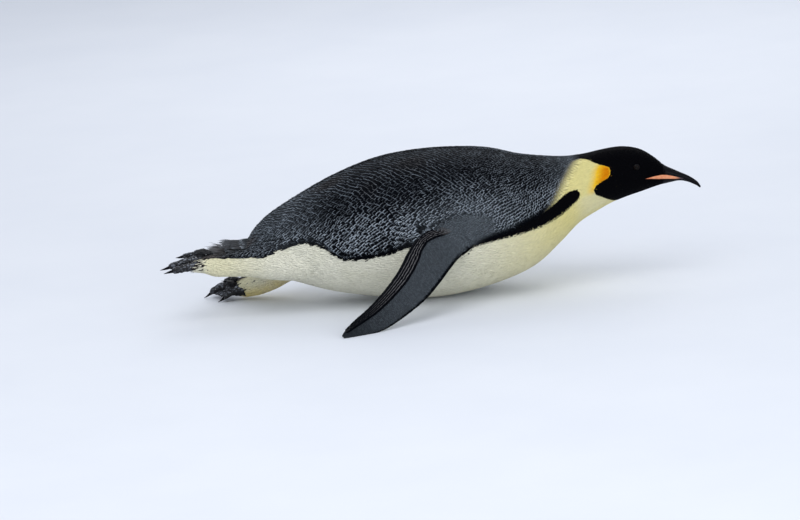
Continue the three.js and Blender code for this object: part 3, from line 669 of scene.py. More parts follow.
class Ground:
    """The skin as what feathers grow from: nearest places with their smooth normals."""

    def __init__(self, obj):
        self.points, self.triangles, self.normals = arrays_of(obj)
        self.tree = BVHTree.FromPolygons(self.points.tolist(), self.triangles.tolist())

    def nearest(self, points):
        """Nearest place on the skin, and the vertex normals there, weighted by the opposite areas."""
        found = [self.tree.find_nearest(p) for p in points.tolist()]
        place = np.array([f[0][:] for f in found])
        corners = self.triangles[np.array([f[2] for f in found])]
        a, b, c = (self.points[corners[:, k]] for k in range(3))
        share = [np.linalg.norm(np.cross(p - place, q - place), axis=-1, keepdims=True)
                 for p, q in ((b, c), (c, a), (a, b))]
        normal = sum(w * self.normals[corners[:, k]] for k, w in enumerate(share))
        return place, unit(normal), np.linalg.norm(points - place, axis=-1)


ground = Ground(skin)

# ---- markings -----------------------------------------------------------------------------------

SLATE, PALE, JET = 0, 1, 2
# Millimetres a rib and a degree take up in the neck, and over which the edge of the jet parts blurs.
RIB_GAP, DEGREE_GAP, JET_BLUR = 43, 1.45, 8.0
BAND_ABOVE = 8.8                 # rib from which the places over the band belong to the neck


def jetness(u, angle):
    """0.5 on the edge of the hood and the band, 0 and 1 some millimetres outside and inside it."""
    hood = (u - table(HOOD_FRONT, angle)) * RIB_GAP
    inside = np.minimum(angle - table(BAND_LOW, u), table(BAND_HIGH, u) - angle) * DEGREE_GAP
    front = BAND_END - BAND_ROUND * ((angle - BAND_TILT) / BAND_HALF) ** 2
    ends = np.minimum(front - u, u - BAND_START) * RIB_GAP
    return np.clip(0.5 + np.maximum(hood, np.minimum(inside, ends)) / JET_BLUR, 0, 1)


def flank_edge(u, side):
    """Angle of the edge between the dark back and the pale flank."""
    return table(FLANK, u) + (side > 0) * table(THIGH, u)


def band_middle(u):
    return (table(BAND_LOW, u) + table(BAND_HIGH, u)) / 2


def body_zone(u, angle, ragged, side):
    """Which coat grows at a place of the body: slate back, pale underside, neck and patch, or the jet
    hood and band. The ragged values move the edge of the back by a degree or so."""
    moved = angle + 0.8 * ragged * smooth(9.3, 8.8, u) + 0.2 * ragged
    edge = np.where(u < 9.25, flank_edge(u, side), band_middle(u))
    slate = (moved > edge) & (u < table(GREY_FRONT, angle) + 0.35 + 0.1 * ragged)
    slate |= (u < 14) & (angle > 69)
    return np.where(jetness(u, angle) > 0.5, JET, np.where(slate, SLATE, PALE))


def shoulder_share(u, angle, grown=1.0):
    """1 over the middle of the shoulder, falling to 0 at its edge."""
    at, level, wide, high = SHOULDER
    off = np.hypot((u - at) / wide, (angle - level) / high) / grown
    return smooth(1.15, 0.45, off)


def body_marks(u, angle, zone, noise, slow, side):
    """Values from 0 to 1 per place of the body: how pale, jet, grey, tipped, brown or yellow and hot it is,
    and from -1 to 1 the lit edge, which edge of a feather carries the painted highlight. Noise is fine, slow
    is broad."""
    slate = zone == SLATE
    # Over the band the slate fades into the yellow of the neck.
    above_band = (angle > band_middle(u)) & (u > BAND_ABOVE)
    past = u - table(GREY_FRONT, angle) + 0.06 * noise
    fade = np.where(u > 11.2, smooth(-0.42, 0.4, past) * smooth(72, 66, angle) * above_band, 0)
    pale = np.where(slate | above_band, fade, 1.0)
    # Along the flank's edge and over the band the feathers have no light tips.
    off_edge = angle - flank_edge(u, side) + 1.0 * noise + 2.2 * smooth(4.5, 4.0, u)
    near_edge = np.where(u < 9.2, smooth(2.2, 5.0, off_edge), 1.0)
    dimmed = mix(1.0, smooth(0.5, 5.5, angle - table(BAND_HIGH, u)), smooth(9.2, 9.8, u) * (1 - fade))
    # The nape, the shoulder and the rump are greyer.
    soft, near_shoulder = shoulder_share(u, angle), shoulder_share(u, angle, 1.9)
    grey = np.maximum.reduce([0.55 * smooth(11.6, 13.6, u), 0.85 * soft, 0.3 * near_shoulder,
                              0.26 * smooth(6.2, 4.4, u)]) * slate * dimmed
    # Lighter tips on the flank than over the top of the back: partly painted sheen.
    flank = smooth(table(FLANK_HIGH, u), table(FLANK_LOW, u), angle)
    tipped = near_edge * mix(table(TOP_TIPS, u), table(FLANK_TIPS, u), flank)
    tipped = tipped * mix(1.0, 0.4, soft) * slate * dimmed
    dull = mix(0.8, 0.95, smooth(8.5, 10, u))
    tipped = tipped * mix(dull, 1.08, smooth(-1, 1, slow)) * mix(0.9, 1.0, smooth(12, 10, u))
    # Painted highlight: the upper edge of a feather is lit on the flank, the lower one on the top, both in
    # front.
    lean = 0.05 + 0.4 * smooth(40, 18, angle + 9 * slow) - 0.3 * smooth(40, 60, angle + 12 * slow)
    lean = mix(lean, 0.4 - 0.15 * smooth(50, 75, angle), smooth(9.0, 10.0, u))
    jet = smooth(13.25, 13.9, u) * smooth(64, 72, angle)
    # Yellow on the neck, the breast and the vent; the same mark is brown on the slate.
    patch = smooth(-9, 3, angle) * smooth(74, 64, angle) * smooth(12, 13.2, u)
    belly = smooth(8.4, 13.0, u) * mix(0.7, 1.0, smooth(-85, -20, angle)) + 0.3 * smooth(5.0, 2.6, u) + 0.05
    # Less yellow on the lower side of the neck: painted sheen.
    belly = belly * (1 - 0.34 * smooth(12.6, 13.6, u) * smooth(-65, -40, angle) * smooth(2, -14, angle))
    brown = 0.7 * smooth(0.2, 1.0, slow) * smooth(20, 45, angle) * smooth(9.5, 8, u)
    faded = np.where(fade < 0.05, brown, 0.95 * smooth(0.0, 0.3, fade))
    yellow = np.where(slate, faded, np.maximum(patch, belly))
    # The patch grows hotter forwards, less so right behind the hood.
    warm = smooth(-0.44, 0.72, u - table(GOLD_BACK, angle) + 0.03 * noise)
    behind_hood = table(HOOD_FRONT, angle) - u
    warm = warm * mix(0.5, 1.0, smooth(0.0, 0.09, behind_hood)) * smooth(-14, -2, angle)
    return {"pale": pale, "jet": jet, "grey": grey, "tipped": tipped, "yellow": yellow, "warm": warm,
            "lean": lean}


# ---- lattices of feather roots ------------------------------------------------------------------

CHART_RIBS, CHART_ANGLES, CHART_SHARES = 460, 241, 256
ROW_STEPS = 3000                 # steps in which the row pitch is added up


class BodyChart:
    """Arc lengths over the body. s runs along the section middles from the tail, w round a section from
    the middle of the back; tables turn (s, w) into rib place and angle."""

    def __init__(self):
        self.u = np.linspace(0, BODY_END - 0.15, CHART_RIBS)
        angle = np.radians(np.linspace(90, -90, CHART_ANGLES))
        u, a = np.meshgrid(self.u, angle, indexing="ij")
        points = body_point(u, a, coat_depth(u))
        steps = np.linalg.norm(np.diff(points, axis=1), axis=-1)
        around = np.concatenate([np.zeros((len(self.u), 1)), np.cumsum(steps, 1)], 1)
        middle = (points[:, 0] + points[:, -1]) / 2
        self.s = np.concatenate([[0], np.cumsum(np.linalg.norm(np.diff(middle, axis=0), axis=-1))])
        self.girth = around[:, -1]
        share = np.linspace(0, 1, CHART_SHARES + 1)
        self.angles = np.array([np.interp(share, row / row[-1], np.degrees(angle)) for row in around])

    def rib(self, s):
        return np.interp(s, self.s, self.u)

    def place(self, s, w):
        """Rib place, angle in degrees, and whether (s, w) lies on the body."""
        row = np.interp(s, self.s, np.arange(len(self.s)))
        girth = np.interp(s, self.s, self.girth)
        share = np.clip(w / girth, 0, 1) * CHART_SHARES
        i, k = np.minimum(row.astype(int), len(self.s) - 2), np.minimum(share.astype(int), CHART_SHARES - 1)
        a, b = row - i, share - k
        angle = (self.angles[i, k] * (1 - a) * (1 - b) + self.angles[i + 1, k] * a * (1 - b)
                 + self.angles[i, k + 1] * (1 - a) * b + self.angles[i + 1, k + 1] * a * b)
        inside = (s > 0) & (s < self.s[-1]) & (w > 0) & (w < girth)
        return self.rib(s), angle, inside


def steady(pitch):
    """A pitch that is the same everywhere."""
    return lambda place: np.full_like(place, pitch * MM)


def by_rib(ribs, pitches):
    """A pitch that runs on between those at the ribs."""
    return lambda u: np.interp(u, ribs, pitches) * MM


def staggered(pitch_rows, pitch_columns, s_range, w_max):
    """Rows of roots: row places add up the row pitch, and each second row starts half a column on."""
    s = np.linspace(*s_range, ROW_STEPS)
    count = np.concatenate([[0], np.cumsum(np.diff(s) / pitch_rows(s[:-1]))])
    row = np.arange(int(count[-1]))
    place = np.interp(row, count, s)
    step = pitch_columns(place)
    column = np.arange(int(w_max / step.min()))
    w = (column[None, :] + 0.25 + 0.5 * (row[:, None] % 2)) * step[:, None]
    return np.broadcast_to(place[:, None], w.shape).ravel(), w.ravel(), np.repeat(step, len(column))


ROWS_PAST = (0.1, 0.16)          # how far the rows start behind the body and end ahead of it
HALF_GIRTH = 0.56                # no way from the middle of the back to that of the belly is longer
SHEAR = -0.25                    # how much further forward a row lies per metre down the flank
WARP, WARP_SIZE = 0.0034, 0.085  # how far, and over what distance, the rows wander
TIP_SHARE = 0.45                 # where on a feather its kind and general colour are read
MARKS = ("pale", "jet", "hood", "grey", "tipped", "yellow", "warm", "lean", "vary")
FINE_MARKS = ("pale", "yellow", "warm")
LOOSE_GAP = 1.5 * MM             # a free feather whose tip is this far off the skin stands out past it
SHORTEST, FLATTEST = 0.55, 0.2   # least reach of a feather for its length, and cosine between its ends
LENGTH_SPREAD, WIDTH_SPREAD, LIFT_SPREAD, SWING_SPREAD = 0.12, 0.1, 0.18, 0.07
# Metres over which the noises of the coat wander: edges, direction, colour (fine and broad) and the edge with
# the painted highlight.
RAGGED_SIZE, SWAY_SIZE, FINE_SIZE, BROAD_SIZE, LIT_EDGE_SIZE = 0.012, 0.06, 0.02, 0.12, 0.017
AHEAD = 0.05                     # the step towards the next place by which a direction is found
ROOTS = []                       # places of the roots and their marks, piece by piece

chart = BodyChart()
draw = np.random.default_rng(SEED)


def spread(count, amount):
    """Random factors about 1."""
    return 1 + amount * draw.uniform(-1, 1, count)


def plain_marks(count, **given):
    """The marks given, and zero for the rest."""
    return {**{key: np.zeros(count) for key in MARKS}, **given}


def body_roots(side, rows, columns, seed, warp=WARP, scatter=0.0):
    """Roots over one side of the body: the staggered rows, sheared, bent by smooth noise and scattered."""
    s, w, step = staggered(lambda v: rows(chart.rib(v)), lambda v: columns(chart.rib(v)),
                           (-ROWS_PAST[0], chart.s[-1] + ROWS_PAST[1]), HALF_GIRTH)
    flat = np.stack([s, w, np.full_like(s, 0.3 * side)], -1)
    warp = warp * smooth(0, 0.035, w)
    s = s + SHEAR * w + warp * waves(flat, WARP_SIZE, seed)
    w = w + warp * waves(flat, WARP_SIZE, seed + 1)
    s = s + scatter * step * draw.uniform(-1, 1, len(s))
    w = np.where(w > step, w + 0.5 * scatter * step * draw.uniform(-1, 1, len(s)), w)
    u, angle, inside = chart.place(s, w)
    return s[inside], w[inside], u[inside], angle[inside], step[inside]


def grow(name, mirror, where, lie, length, width, thick, lift, place, marks, shape=CONTOUR, reach=0.006,
         free=None):
    """Feathers of one piece: roots and tips are drawn to the skin, roots too far off it are left out,
    and the vanes run from one to the other. Mirror (-1 right, 1 left) makes the back edge side 1. Free
    feathers may stand out past the end of the skin."""
    root, root_normal, off = ground.nearest(where)
    lie = unit(lie - root_normal * dot(lie, root_normal))
    target = root + lie * length[:, None]
    tip, tip_normal, far = ground.nearest(target)
    if free is not None:
        loose = (free & (far > LOOSE_GAP))[:, None]
        tip, tip_normal = np.where(loose, target, tip), np.where(loose, root_normal, tip_normal)
    span = np.linalg.norm(tip - root, axis=-1)
    keep = (off < reach) & (span > SHORTEST * length) & (dot(root_normal, tip_normal)[:, 0] > FLATTEST)
    pick = [a[keep] for a in (root, root_normal, tip, tip_normal, width, thick, lift)]
    points, along, side = vanes(*pick, shape=shape)
    marks = {key: value[keep] for key, value in marks.items()}
    flat = {key: value if value.ndim == 1 else value[:, 3:].mean(1) for key, value in marks.items()}
    ROOTS.append((root[keep], flat))
    return vane_object(name, points, along, mirror * side, place[keep], marks, len(shape))


def spots(s, w):
    """Where the patches of vanes rooted at (s, w) lie on the bake map."""
    return np.stack([square(s), square(w)], -1)


def body_coat(kind, zone_wanted, rows, columns, sizes, seed, pieces, shape=CONTOUR, warp=WARP, sway=0.16,
              grows=None, droop=0.0, scatter=0.0, reach=0.006):
    """One kind of feather over both sides of the body, in pieces parted at the given ribs. Grows says
    from rib, angle and noise where this kind stands within its zone; droop turns the tips down. A
    feather takes zone and marks from where its tip lies, so that edges run as finely as the tips."""
    made = []
    for name, side in SIDES.items():
        s, w, u, angle, step = body_roots(side, rows, columns, seed, warp, scatter)
        count = len(u)
        degrees = np.radians(np.where(side > 0, angle, 180 - angle))
        where = body_point(u, degrees, coat_depth(u))
        ragged = draw.normal(size=count) * 0.35 + waves(where, RAGGED_SIZE, seed + 7) * 0.7
        length, width, thick, lift = sizes(u, step)
        length, width = length * spread(count, LENGTH_SPREAD), width * spread(count, WIDTH_SPREAD)
        lift = lift * spread(count, LIFT_SPREAD)
        swing = sway * waves(where, SWAY_SIZE, seed + 3) + SWING_SPREAD * draw.normal(size=count)
        swing = swing - side * droop
        tip_u, tip_angle, _ = chart.place(s - TIP_SHARE * length, w - side * swing * TIP_SHARE * length)
        zone = body_zone(tip_u, tip_angle, ragged, side)
        fine, slow = waves(where, FINE_SIZE, seed + 5), waves(where, BROAD_SIZE, 91)
        marks = body_marks(tip_u, tip_angle, zone, fine, slow, side)
        marks["vary"] = draw.uniform(size=count)
        marks["lean"] = np.clip(marks["lean"] + 0.3 * waves(where, LIT_EDGE_SIZE, seed + 9), -1, 1)
        marks.update(vertex_marks(marks, s, w, length, width, swing, side, shape, ragged, zone))
        lie = unit(where - body_point(u + AHEAD, degrees, coat_depth(u)))
        out = where - body_point(u, degrees + math.pi, coat_depth(u))
        normal = unit(out - lie * dot(out, lie))
        lie = turned(lie, normal, swing)
        place = spots(s, w)
        keep = zone == zone_wanted
        if grows is not None:
            keep &= grows(tip_u, tip_angle, ragged, side)
        edges = [-1, *pieces, 99]
        for k, (low, high) in enumerate(zip(edges[:-1], edges[1:])):
            part = keep & (u > low) & (u <= high)
            if part.any():
                pick = {key: value[part] for key, value in marks.items()}
                made.append(grow(f"{kind}_{name}_{k + 1}", side, where[part], lie[part], length[part],
                                 width[part], thick[part], lift[part], place[part], pick, shape, reach))
    return made


def vertex_marks(marks, s, w, length, width, swing, side, shape, ragged, zone):
    """Marks per vertex of the vanes, so that edges and fades run through the feathers: on the neck the
    colours, everywhere the distance to the edge of the jet parts."""
    along, edge = vane_places(shape)
    across = 0.5 * edge * np.append(np.repeat(shape[:, 1], 3), 0.0)
    far = along * length[:, None]
    off = side * (across * width[:, None] + swing[:, None] * far)
    u, angle, _ = chart.place(s[:, None] - far, w[:, None] - off)
    fine = body_marks(u, angle, np.broadcast_to(zone[:, None], u.shape), 0.0 * u, 0.0 * u, side)
    front = smooth(8.6, 8.9, u)
    made = {key: mix(marks[key][:, None], fine[key], front) for key in FINE_MARKS}
    return dict(made, hood=jetness(u + 0.008 * ragged[:, None], angle))


def back_sizes(u, step):
    rows = np.interp(u, *BACK_ROWS) * MM
    return 3.0 * rows, 1.22 * step, 0.1 * step, mix(0.5, 0.95, smooth(9, 4, u)) * coat_depth(u)


def shoulder_sizes(u, step):
    return 3.0 * SHOULDER_ROWS * MM + 0 * u, 1.25 * step, 0.09 * step, 0.4 * coat_depth(u)


def pale_sizes(u, step):
    size = np.interp(u, (9, 14), (1.0, 0.66))
    return 16 * MM * size, 3.7 * MM * size, 0.09 * MM * size, 0.09 * coat_depth(u)


def jet_sizes(u, step):
    size = np.interp(u, (10, 13, 17, 19), (1.5, 1.2, 1.0, 0.8))
    return 7.0 * MM * size, 3.3 * MM * size, 0.26 * MM * size, 0.6 * MM * size


def is_fringe(u, angle, ragged, side):
    return (angle - flank_edge(u, side) < FRINGE + 0.5 * ragged) & (u < 9.3)


def is_shoulder(u, angle, ragged, side):
    return (shoulder_share(u, angle) + 0.1 * ragged > 0.4) & ~is_fringe(u, angle, ragged, side)


def is_back(u, angle, ragged, side):
    return (shoulder_share(u, angle) + 0.1 * ragged < 0.55) & (angle - flank_edge(u, side) > 0.55 * FRINGE)


def is_face(u, angle, ragged, side):
    return u < 19.1 - 0.45 * smooth(25, 85, angle) + 0.02 * ragged


def fringe_sizes(u, step):
    rough = draw.uniform(0.5, 1.25, len(u))
    return 12 * MM * rough, 2.1 * MM + 0 * u, 0.28 * MM + 0 * u, 0.62 * coat_depth(u) * rough


back = body_coat("coat_back", SLATE, by_rib(*BACK_ROWS),
                 lambda u: BACK_SLENDER * np.interp(u, *BACK_ROWS) * MM, back_sizes, 11, (8.0,),
                 sway=0.12, grows=is_back, droop=-0.08, scatter=0.09, reach=0.022)
back += body_coat("coat_shoulder", SLATE, steady(SHOULDER_ROWS), steady(SHOULDER_COLUMNS), shoulder_sizes,
                  17, (), warp=0.002, sway=0.1, grows=is_shoulder, scatter=0.15, reach=0.012)
back += body_coat("coat_fringe", SLATE, steady(FRINGE_ROWS), steady(FRINGE_COLUMNS), fringe_sizes, 19, (),
                  VELVET, 0.002, 0.3, is_fringe, 0.22, 0.6)
underside = body_coat("coat_pale", PALE, by_rib((9, 14), (PALE_ROWS, 0.66 * PALE_ROWS)),
                      by_rib((9, 14), (PALE_COLUMNS, 0.66 * PALE_COLUMNS)), pale_sizes, 23,
                      (6.0, 8.2, 11.0), SILK, 0.002, 0.06, scatter=0.8)
hood = body_coat("coat_hood", JET, by_rib((10, 14, 19), (4.2, HEAD_ROWS, 2.6)),
                 by_rib((10, 14, 19), (3.2, HEAD_COLUMNS, 1.9)), jet_sizes, 37, (15.0,), VELVET, 0.001,
                 0.1, is_face, scatter=0.5)

# ---- flippers -----------------------------------------------------------------------------------

STATION_STEPS = 600              # steps in which a place along the blade is turned into a station
STATION_FINE = np.linspace(0, len(FLIPPER_STATIONS) - 1, STATION_STEPS)
AT_FINE = spline(FLIPPER_STATIONS[:, 0], STATION_FINE)
BLADE_LENGTH = float(np.linalg.norm(np.array(FLIPPER_TIP) - FLIPPER_SHOULDER)) * MM
BLADE_WIDTH = 0.11               # no chord of a flipper is longer
TRAILING_ROWS, TRAILING_PITCH, TRAILING_LENGTH = 5, 5.2 * MM, 24 * MM


def row_ends(at):
    """Chord places of the first and last row of long feathers at a place along the blade."""
    place, first, last = np.array(ROW_PATH).T
    return np.interp(at, place, first), np.interp(at, place, last)


def flipper_coat(name, side, face):
    """Small flat feathers over one face of a flipper: slate outside, white inside with dark edges."""
    s, w, _ = staggered(steady(FLIPPER_ROWS), steady(FLIPPER_COLUMNS),
                        (-0.13 * BLADE_LENGTH, 1.03 * BLADE_LENGTH), BLADE_WIDTH)
    at = s / BLADE_LENGTH
    u = np.interp(at, AT_FINE, STATION_FINE)
    row = spline(FLIPPER_STATIONS, u)
    q = (w - 0.001) / (row[:, 1] - row[:, 2])
    keep = (q > 0.012) & (q < 0.99)
    s, w, u, q, at = (a[keep] for a in (s, w, u, q, at))
    count = len(u)
    where = flipper_point(u, q, face, side, FLIPPER_INSET)
    _, axis, chord, _ = flipper_frame(side)
    swing = 0.16 * smooth(0.3, 1.0, q) + 0.04 * smooth(0.2, 0.0, q)
    lie = unit(unit(axis) + swing[:, None] * chord)
    noise = waves(where, 0.012, 61 + face)
    marks = plain_marks(count, vary=draw.uniform(size=count))
    ragged = 0.003 * noise + 0.002 * draw.normal(size=count)
    if face > 0:
        # Black along the leading edge, greyer at the shoulder and before the long rows, darker to the tip.
        lead = smooth(0.0065, 0.0045, q * 0.09 + 0.2 * ragged) * smooth(0.05, 0.15, at)
        out = smooth(-0.06, 0.18, at)
        tipped = mix(0.34, 0.24, out) * mix(1, 0.4, smooth(0.75, 1.0, at)) * (1 - lead)
        grey = mix(0.92, 0.66, out) * mix(1, 0.4, smooth(0.4, 1.02, at + 0.05 * noise)) * (1 - lead)
        first, last = row_ends(at)
        grey = grey * mix(0.95, 0.5, smooth(-0.1, 0.03, q - first))
        flank = smooth(-0.02, 0.03, q - last) * smooth(0.26, 0.16, at)
        marks.update(tipped=mix(tipped, 1.0, flank), grey=mix(grey, 0.3, flank))
    else:
        edge = np.minimum(q * 0.09, (1 - q) * 0.07)
        pale = 1.0 * ((edge > 0.004 + ragged) & (at < 0.9 + 0.03 * noise))
        marks.update(pale=pale, grey=np.full(count, 0.2))
    return grow(f"coat_flipper_{'outer' if face > 0 else 'inner'}_{name}", side, where,
                lie, 8.5 * MM * spread(count, 0.12), 3.6 * MM * spread(count, 0.1),
                np.full(count, 0.28 * MM), 0.8 * MM * spread(count, 0.15), spots(s, w), marks, VELVET)


def trailing_coat(name, side):
    """Long stiff feathers in rows along the trailing edge, which bend forward over the shoulder; each has a
    light brown edge over the dark groove beside it, which is painted shade."""
    def place_of(at, k, wander):
        """Point of row k at a place along the blade, and its chord place."""
        q = mix(*row_ends(at), k / (TRAILING_ROWS - 1)) + 0.004 * waves(at[:, None] * BLADE_LENGTH, 0.03, 71)
        return flipper_point(np.interp(at, AT_FINE, STATION_FINE), q + wander, 1, side, FLIPPER_INSET), q

    at = np.arange(0.005, 0.97, TRAILING_PITCH / BLADE_LENGTH)
    k, at = (a.ravel() for a in np.meshgrid(np.arange(TRAILING_ROWS), at, indexing="ij"))
    count = len(at)
    at = at + 0.004 * draw.uniform(-1, 1, count)
    wander = 0.003 * draw.normal(size=count)
    where, q = place_of(at, k, wander)
    size = mix(1.0, 0.55, smooth(0.55, 1.0, at)) * mix(0.55, 1.0, smooth(0.1, 0.3, at)) * spread(count, 0.12)
    tip, _ = place_of(at + TRAILING_LENGTH * size / BLADE_LENGTH, k, wander)
    light = smooth(TRAILING_ROWS - 1.0, TRAILING_ROWS - 2.6, k) * mix(1, 0.12, smooth(0.4, 0.85, at))
    front = smooth(0.1, 0.01, at)
    marks = plain_marks(count, grey=0.9 * front, tipped=(0.06 + 0.9 * light) * (1 - 0.7 * front),
                        yellow=0.75 * (1 - 0.8 * front), row=np.ones(count),
                        vary=draw.uniform(0.25, 0.75, size=count))
    lift = (2.7 - 0.4 * k) * mix(0.25, 1.0, smooth(0.0, 0.12, at)) * MM
    return grow(f"coat_flipper_rows_{name}", side, where, unit(tip - where),
                np.linalg.norm(tip - where, axis=-1), 8.0 * MM * mix(0.75, 1, size), np.full(count, 1.0 * MM),
                lift, spots(at, q), marks, BLADE, 0.012)


flippers = []
for name, side in SIDES.items():
    flippers += [flipper_coat(name, side, face) for face in (1, -1)]
    flippers.append(trailing_coat(name, side))

# ---- legs ---------------------------------------------------------------------------------------

LEG_SPAN, LEG_GIRTH = (0.05, 0.99), 0.38     # where feathers stand, as shares of a leg's length, and metres
LEG_STEPS = 300                  # steps in which a leg's length is added up
FREE_ANKLE = 0.024               # over this last part of a leg the feathers may stand out past the skin


def leg_coat(name, side):
    """Soft white feathers down over the ankle, dark on top where the back's coat runs over the leg and
    streaked dark at the ankle; ochre towards the underside of the left leg."""
    end, right = LEG_END[name], name == "right"
    fine = np.linspace(0, end, LEG_STEPS)
    steps = np.linalg.norm(np.diff(spline(LEG_ROWS[name], fine)[:, :3], axis=0), axis=-1)
    along_leg = np.concatenate([[0], np.cumsum(steps)])
    reach = along_leg[-1]
    s, w, _ = staggered(steady(LEG_PITCH[0]), steady(LEG_PITCH[1]),
                        (LEG_SPAN[0] * reach, LEG_SPAN[1] * reach), LEG_GIRTH)
    s = s + 0.4 * (LEG_PITCH[0] * MM) * draw.uniform(-1, 1, len(s))
    u = np.interp(s, along_leg, fine)
    row = spline(LEG_ROWS[name], u)
    around = w / ((row[:, 3] + row[:, 4]) / 2)
    where = leg_point(name, u, around, LEG_INSET)
    _, _, share = body_place(where)
    keep = (around < 2 * math.pi) & (share > 1.0 - coat_depth(3) / 0.09)
    s, w, u, around, where = (a[keep] for a in (s, w, u, around, where))
    lie = unit(leg_point(name, u + AHEAD, around, LEG_INSET) - where)
    lie = unit(lie + 0.06 * draw.normal(size=lie.shape))
    count = len(u)
    noise = waves(where, 0.014, 83)
    ragged = 0.5 * draw.normal(size=count) + noise
    outer = np.degrees(around) if right else (180 - np.degrees(around)) % 360
    dark_edge = table(LEG_DARK, u)
    far_edge = 165 - 0.5 * dark_edge if right else 112
    dark_top = (outer > dark_edge + 3 * ragged) & (outer < far_edge + 4 * ragged)
    height = np.sin(around)
    ankle = smooth(end - 2.4, end - 0.6, u)
    clumps = smooth(-0.7, 0.4, waves(where, 0.008, 87))
    streaky = smooth(end - 2.7, end - 1.4, u) * smooth(-0.9, 0.0, height + 0.3 * noise) * clumps
    streak = draw.uniform(size=count) < streaky * (0.85 if right else 0.1)
    # More ochre towards the underside of the left leg.
    stain = smooth(0.2, -0.7, height) * (0.0 if right else 0.9)
    tint = mix(0.08, 0.42, smooth(0.6, 3.6, u)) * mix(1, 0.35, smooth(end - 2, end - 1, u) * right)
    tint = tint + 0.5 * stain * (0.7 + 0.3 * noise)
    marks = plain_marks(
        count, pale=1.0 * ~(dark_top | streak), jet=0.2 * streak,
        grey=np.maximum(0.5 * smooth(2.6, 4.4, u) * dark_top, 0.3 * streak),
        tipped=mix(0.9, 0.6, smooth(1.6, 4.0, u)) * dark_top,
        yellow=np.where(dark_top | streak, 0.8 * smooth(1.5, 4.0, u), tint),
        warm=0.1 * stain, lean=np.full(count, 0.6), vary=draw.uniform(size=count))
    # Dark feathers are narrower near the edge of the dark top.
    narrow = mix(0.35, 1.0, smooth(3, 12, np.abs(outer - dark_edge - 2 * ragged)))
    wide = np.where(dark_top, mix(6.4, 2.4, ankle) * narrow, mix(3.6, 2.2, ankle))
    lift = np.where(dark_top, mix(1.6, 2.2, ankle), mix(0.3, 1.1, ankle))
    length = mix(15, 17, ankle) * np.where(streak, 1.2, 1.0) * spread(count, 0.25)
    return grow(f"coat_leg_{name}", side, where, lie, length * MM, wide * MM,
                np.where(dark_top, 0.3, 0.11) * MM, lift * MM * spread(count, 0.35),
                spots(s, w), marks, CONTOUR, 0.009, s > reach - FREE_ANKLE)


legs = [leg_coat(name, side) for name, side in SIDES.items()]

# ---- skin colours from the coat -----------------------------------------------------------------

def mark_skin():
    """Each point of the skin takes the marks of the feather that grows nearest to it."""
    roots = np.concatenate([r for r, _ in ROOTS])
    tree = KDTree(len(roots))
    for i, p in enumerate(roots.tolist()):
        tree.insert(p, i)
    tree.balance()
    nearest = np.array([tree.find(p)[1] for p in ground.points.tolist()])
    add_marks(skin.data, {key: np.concatenate([marks[key] for _, marks in ROOTS])[nearest] for key in MARKS})


mark_skin()

# ---- tail ---------------------------------------------------------------------------------------

# Tiers of the tail: count, root x and z, tip x and z, fan and spread, width, jitter of the tips, and how
# light the tips and how grey and brown the vanes are.
TAIL_TIERS = {
    "rectrices": (16, (-425, 139), (-494, 135), 20, 30, 10.5, 2.5, 0.3, 0.55, 0.9),
    "upper": (15, (-406, 147), (-462, 146), 15, 27, 8.5, 4, 0.35, 0.52, 0.3),
    "upper_short": (14, (-398, 151), (-452, 151), 14, 28, 8, 4, 0.35, 0.48, 0.3),
    "lower": (11, (-412, 119), (-484, 128), 15, 26, 11, 3, 0.3, 0.5, 0.9),
    "frayed": (90, (-420, 146), (-466, 152), 18, 24, 1.9, 7, 0.45, 0.7, 0.3),
    "frayed_top": (50, (-410, 151), (-464, 156), 12, 18, 1.5, 5, 0.45, 0.7, 0.3),
    "woolly": (230, (-438, 136), (-492, 138), 24, 36, 2.6, 9, 0.45, 0.8, 0.5),
    "coverts": (70, (-391, 157), (-425, 150), 9, 31, 5.0, 6, 0.6, 0.35, 0.15),
}


def tail_vanes(count, root, tip, fan, spread_out, wide, jitter):
    """A fan of vanes about the middle plane: the outer ones turned out, shorter and lower."""
    place = np.linspace(-1, 1, count) + draw.normal(size=count) * 0.02
    turn = np.radians(fan) * place
    reach = (tip[0] - root[0]) * (1 - 0.14 * place ** 2) * (1 + 0.014 * jitter * draw.normal(size=count))
    drop = 7 * place ** 2
    root_x = root[0] + SHIFT_X + 0.9 * jitter * draw.uniform(-1, 1, count)
    start = np.stack([root_x, spread_out * place, root[1] - drop], -1)
    end = np.stack([start[:, 0] + reach * np.cos(turn), start[:, 1] - reach * np.sin(turn),
                    tip[1] - drop + 1.2 * (np.arange(count) % 2)], -1)
    end[:, 1:] += jitter * 0.35 * draw.normal(size=(count, 2))
    start, end = start * MM, end * MM
    normal = unit(np.stack([np.zeros(count), 0.35 * place, np.ones(count)], -1))
    width = wide * MM * spread(count, 0.12)
    return vanes(start, normal, end, unit(normal + (0, 0, 0.1)), width, 0.12 * width + 0.0004,
                 np.full(count, 0.0006), LONG_BLADE)


def make_tail():
    """All tiers of the tail as one piece."""
    tiers = list(TAIL_TIERS.values())
    groups = [tail_vanes(*tier[:-3]) for tier in tiers]
    points, along, side = (np.concatenate([group[k] for group in groups]) for k in range(3))
    count = len(points)
    tipped, grey, brown = np.repeat([tier[-3:] for tier in tiers], [tier[0] for tier in tiers], axis=0).T
    marks = plain_marks(count, grey=grey, tipped=tipped, yellow=brown, vary=draw.uniform(size=count))
    place = np.stack([square(points[:, 0, 0]), (np.arange(count) + 0.5) / count], -1)
    return vane_object("tail_vanes", points, along, side, place, marks, len(LONG_BLADE))


tail = make_tail()

# ---- feet ---------------------------------------------------------------------------------------

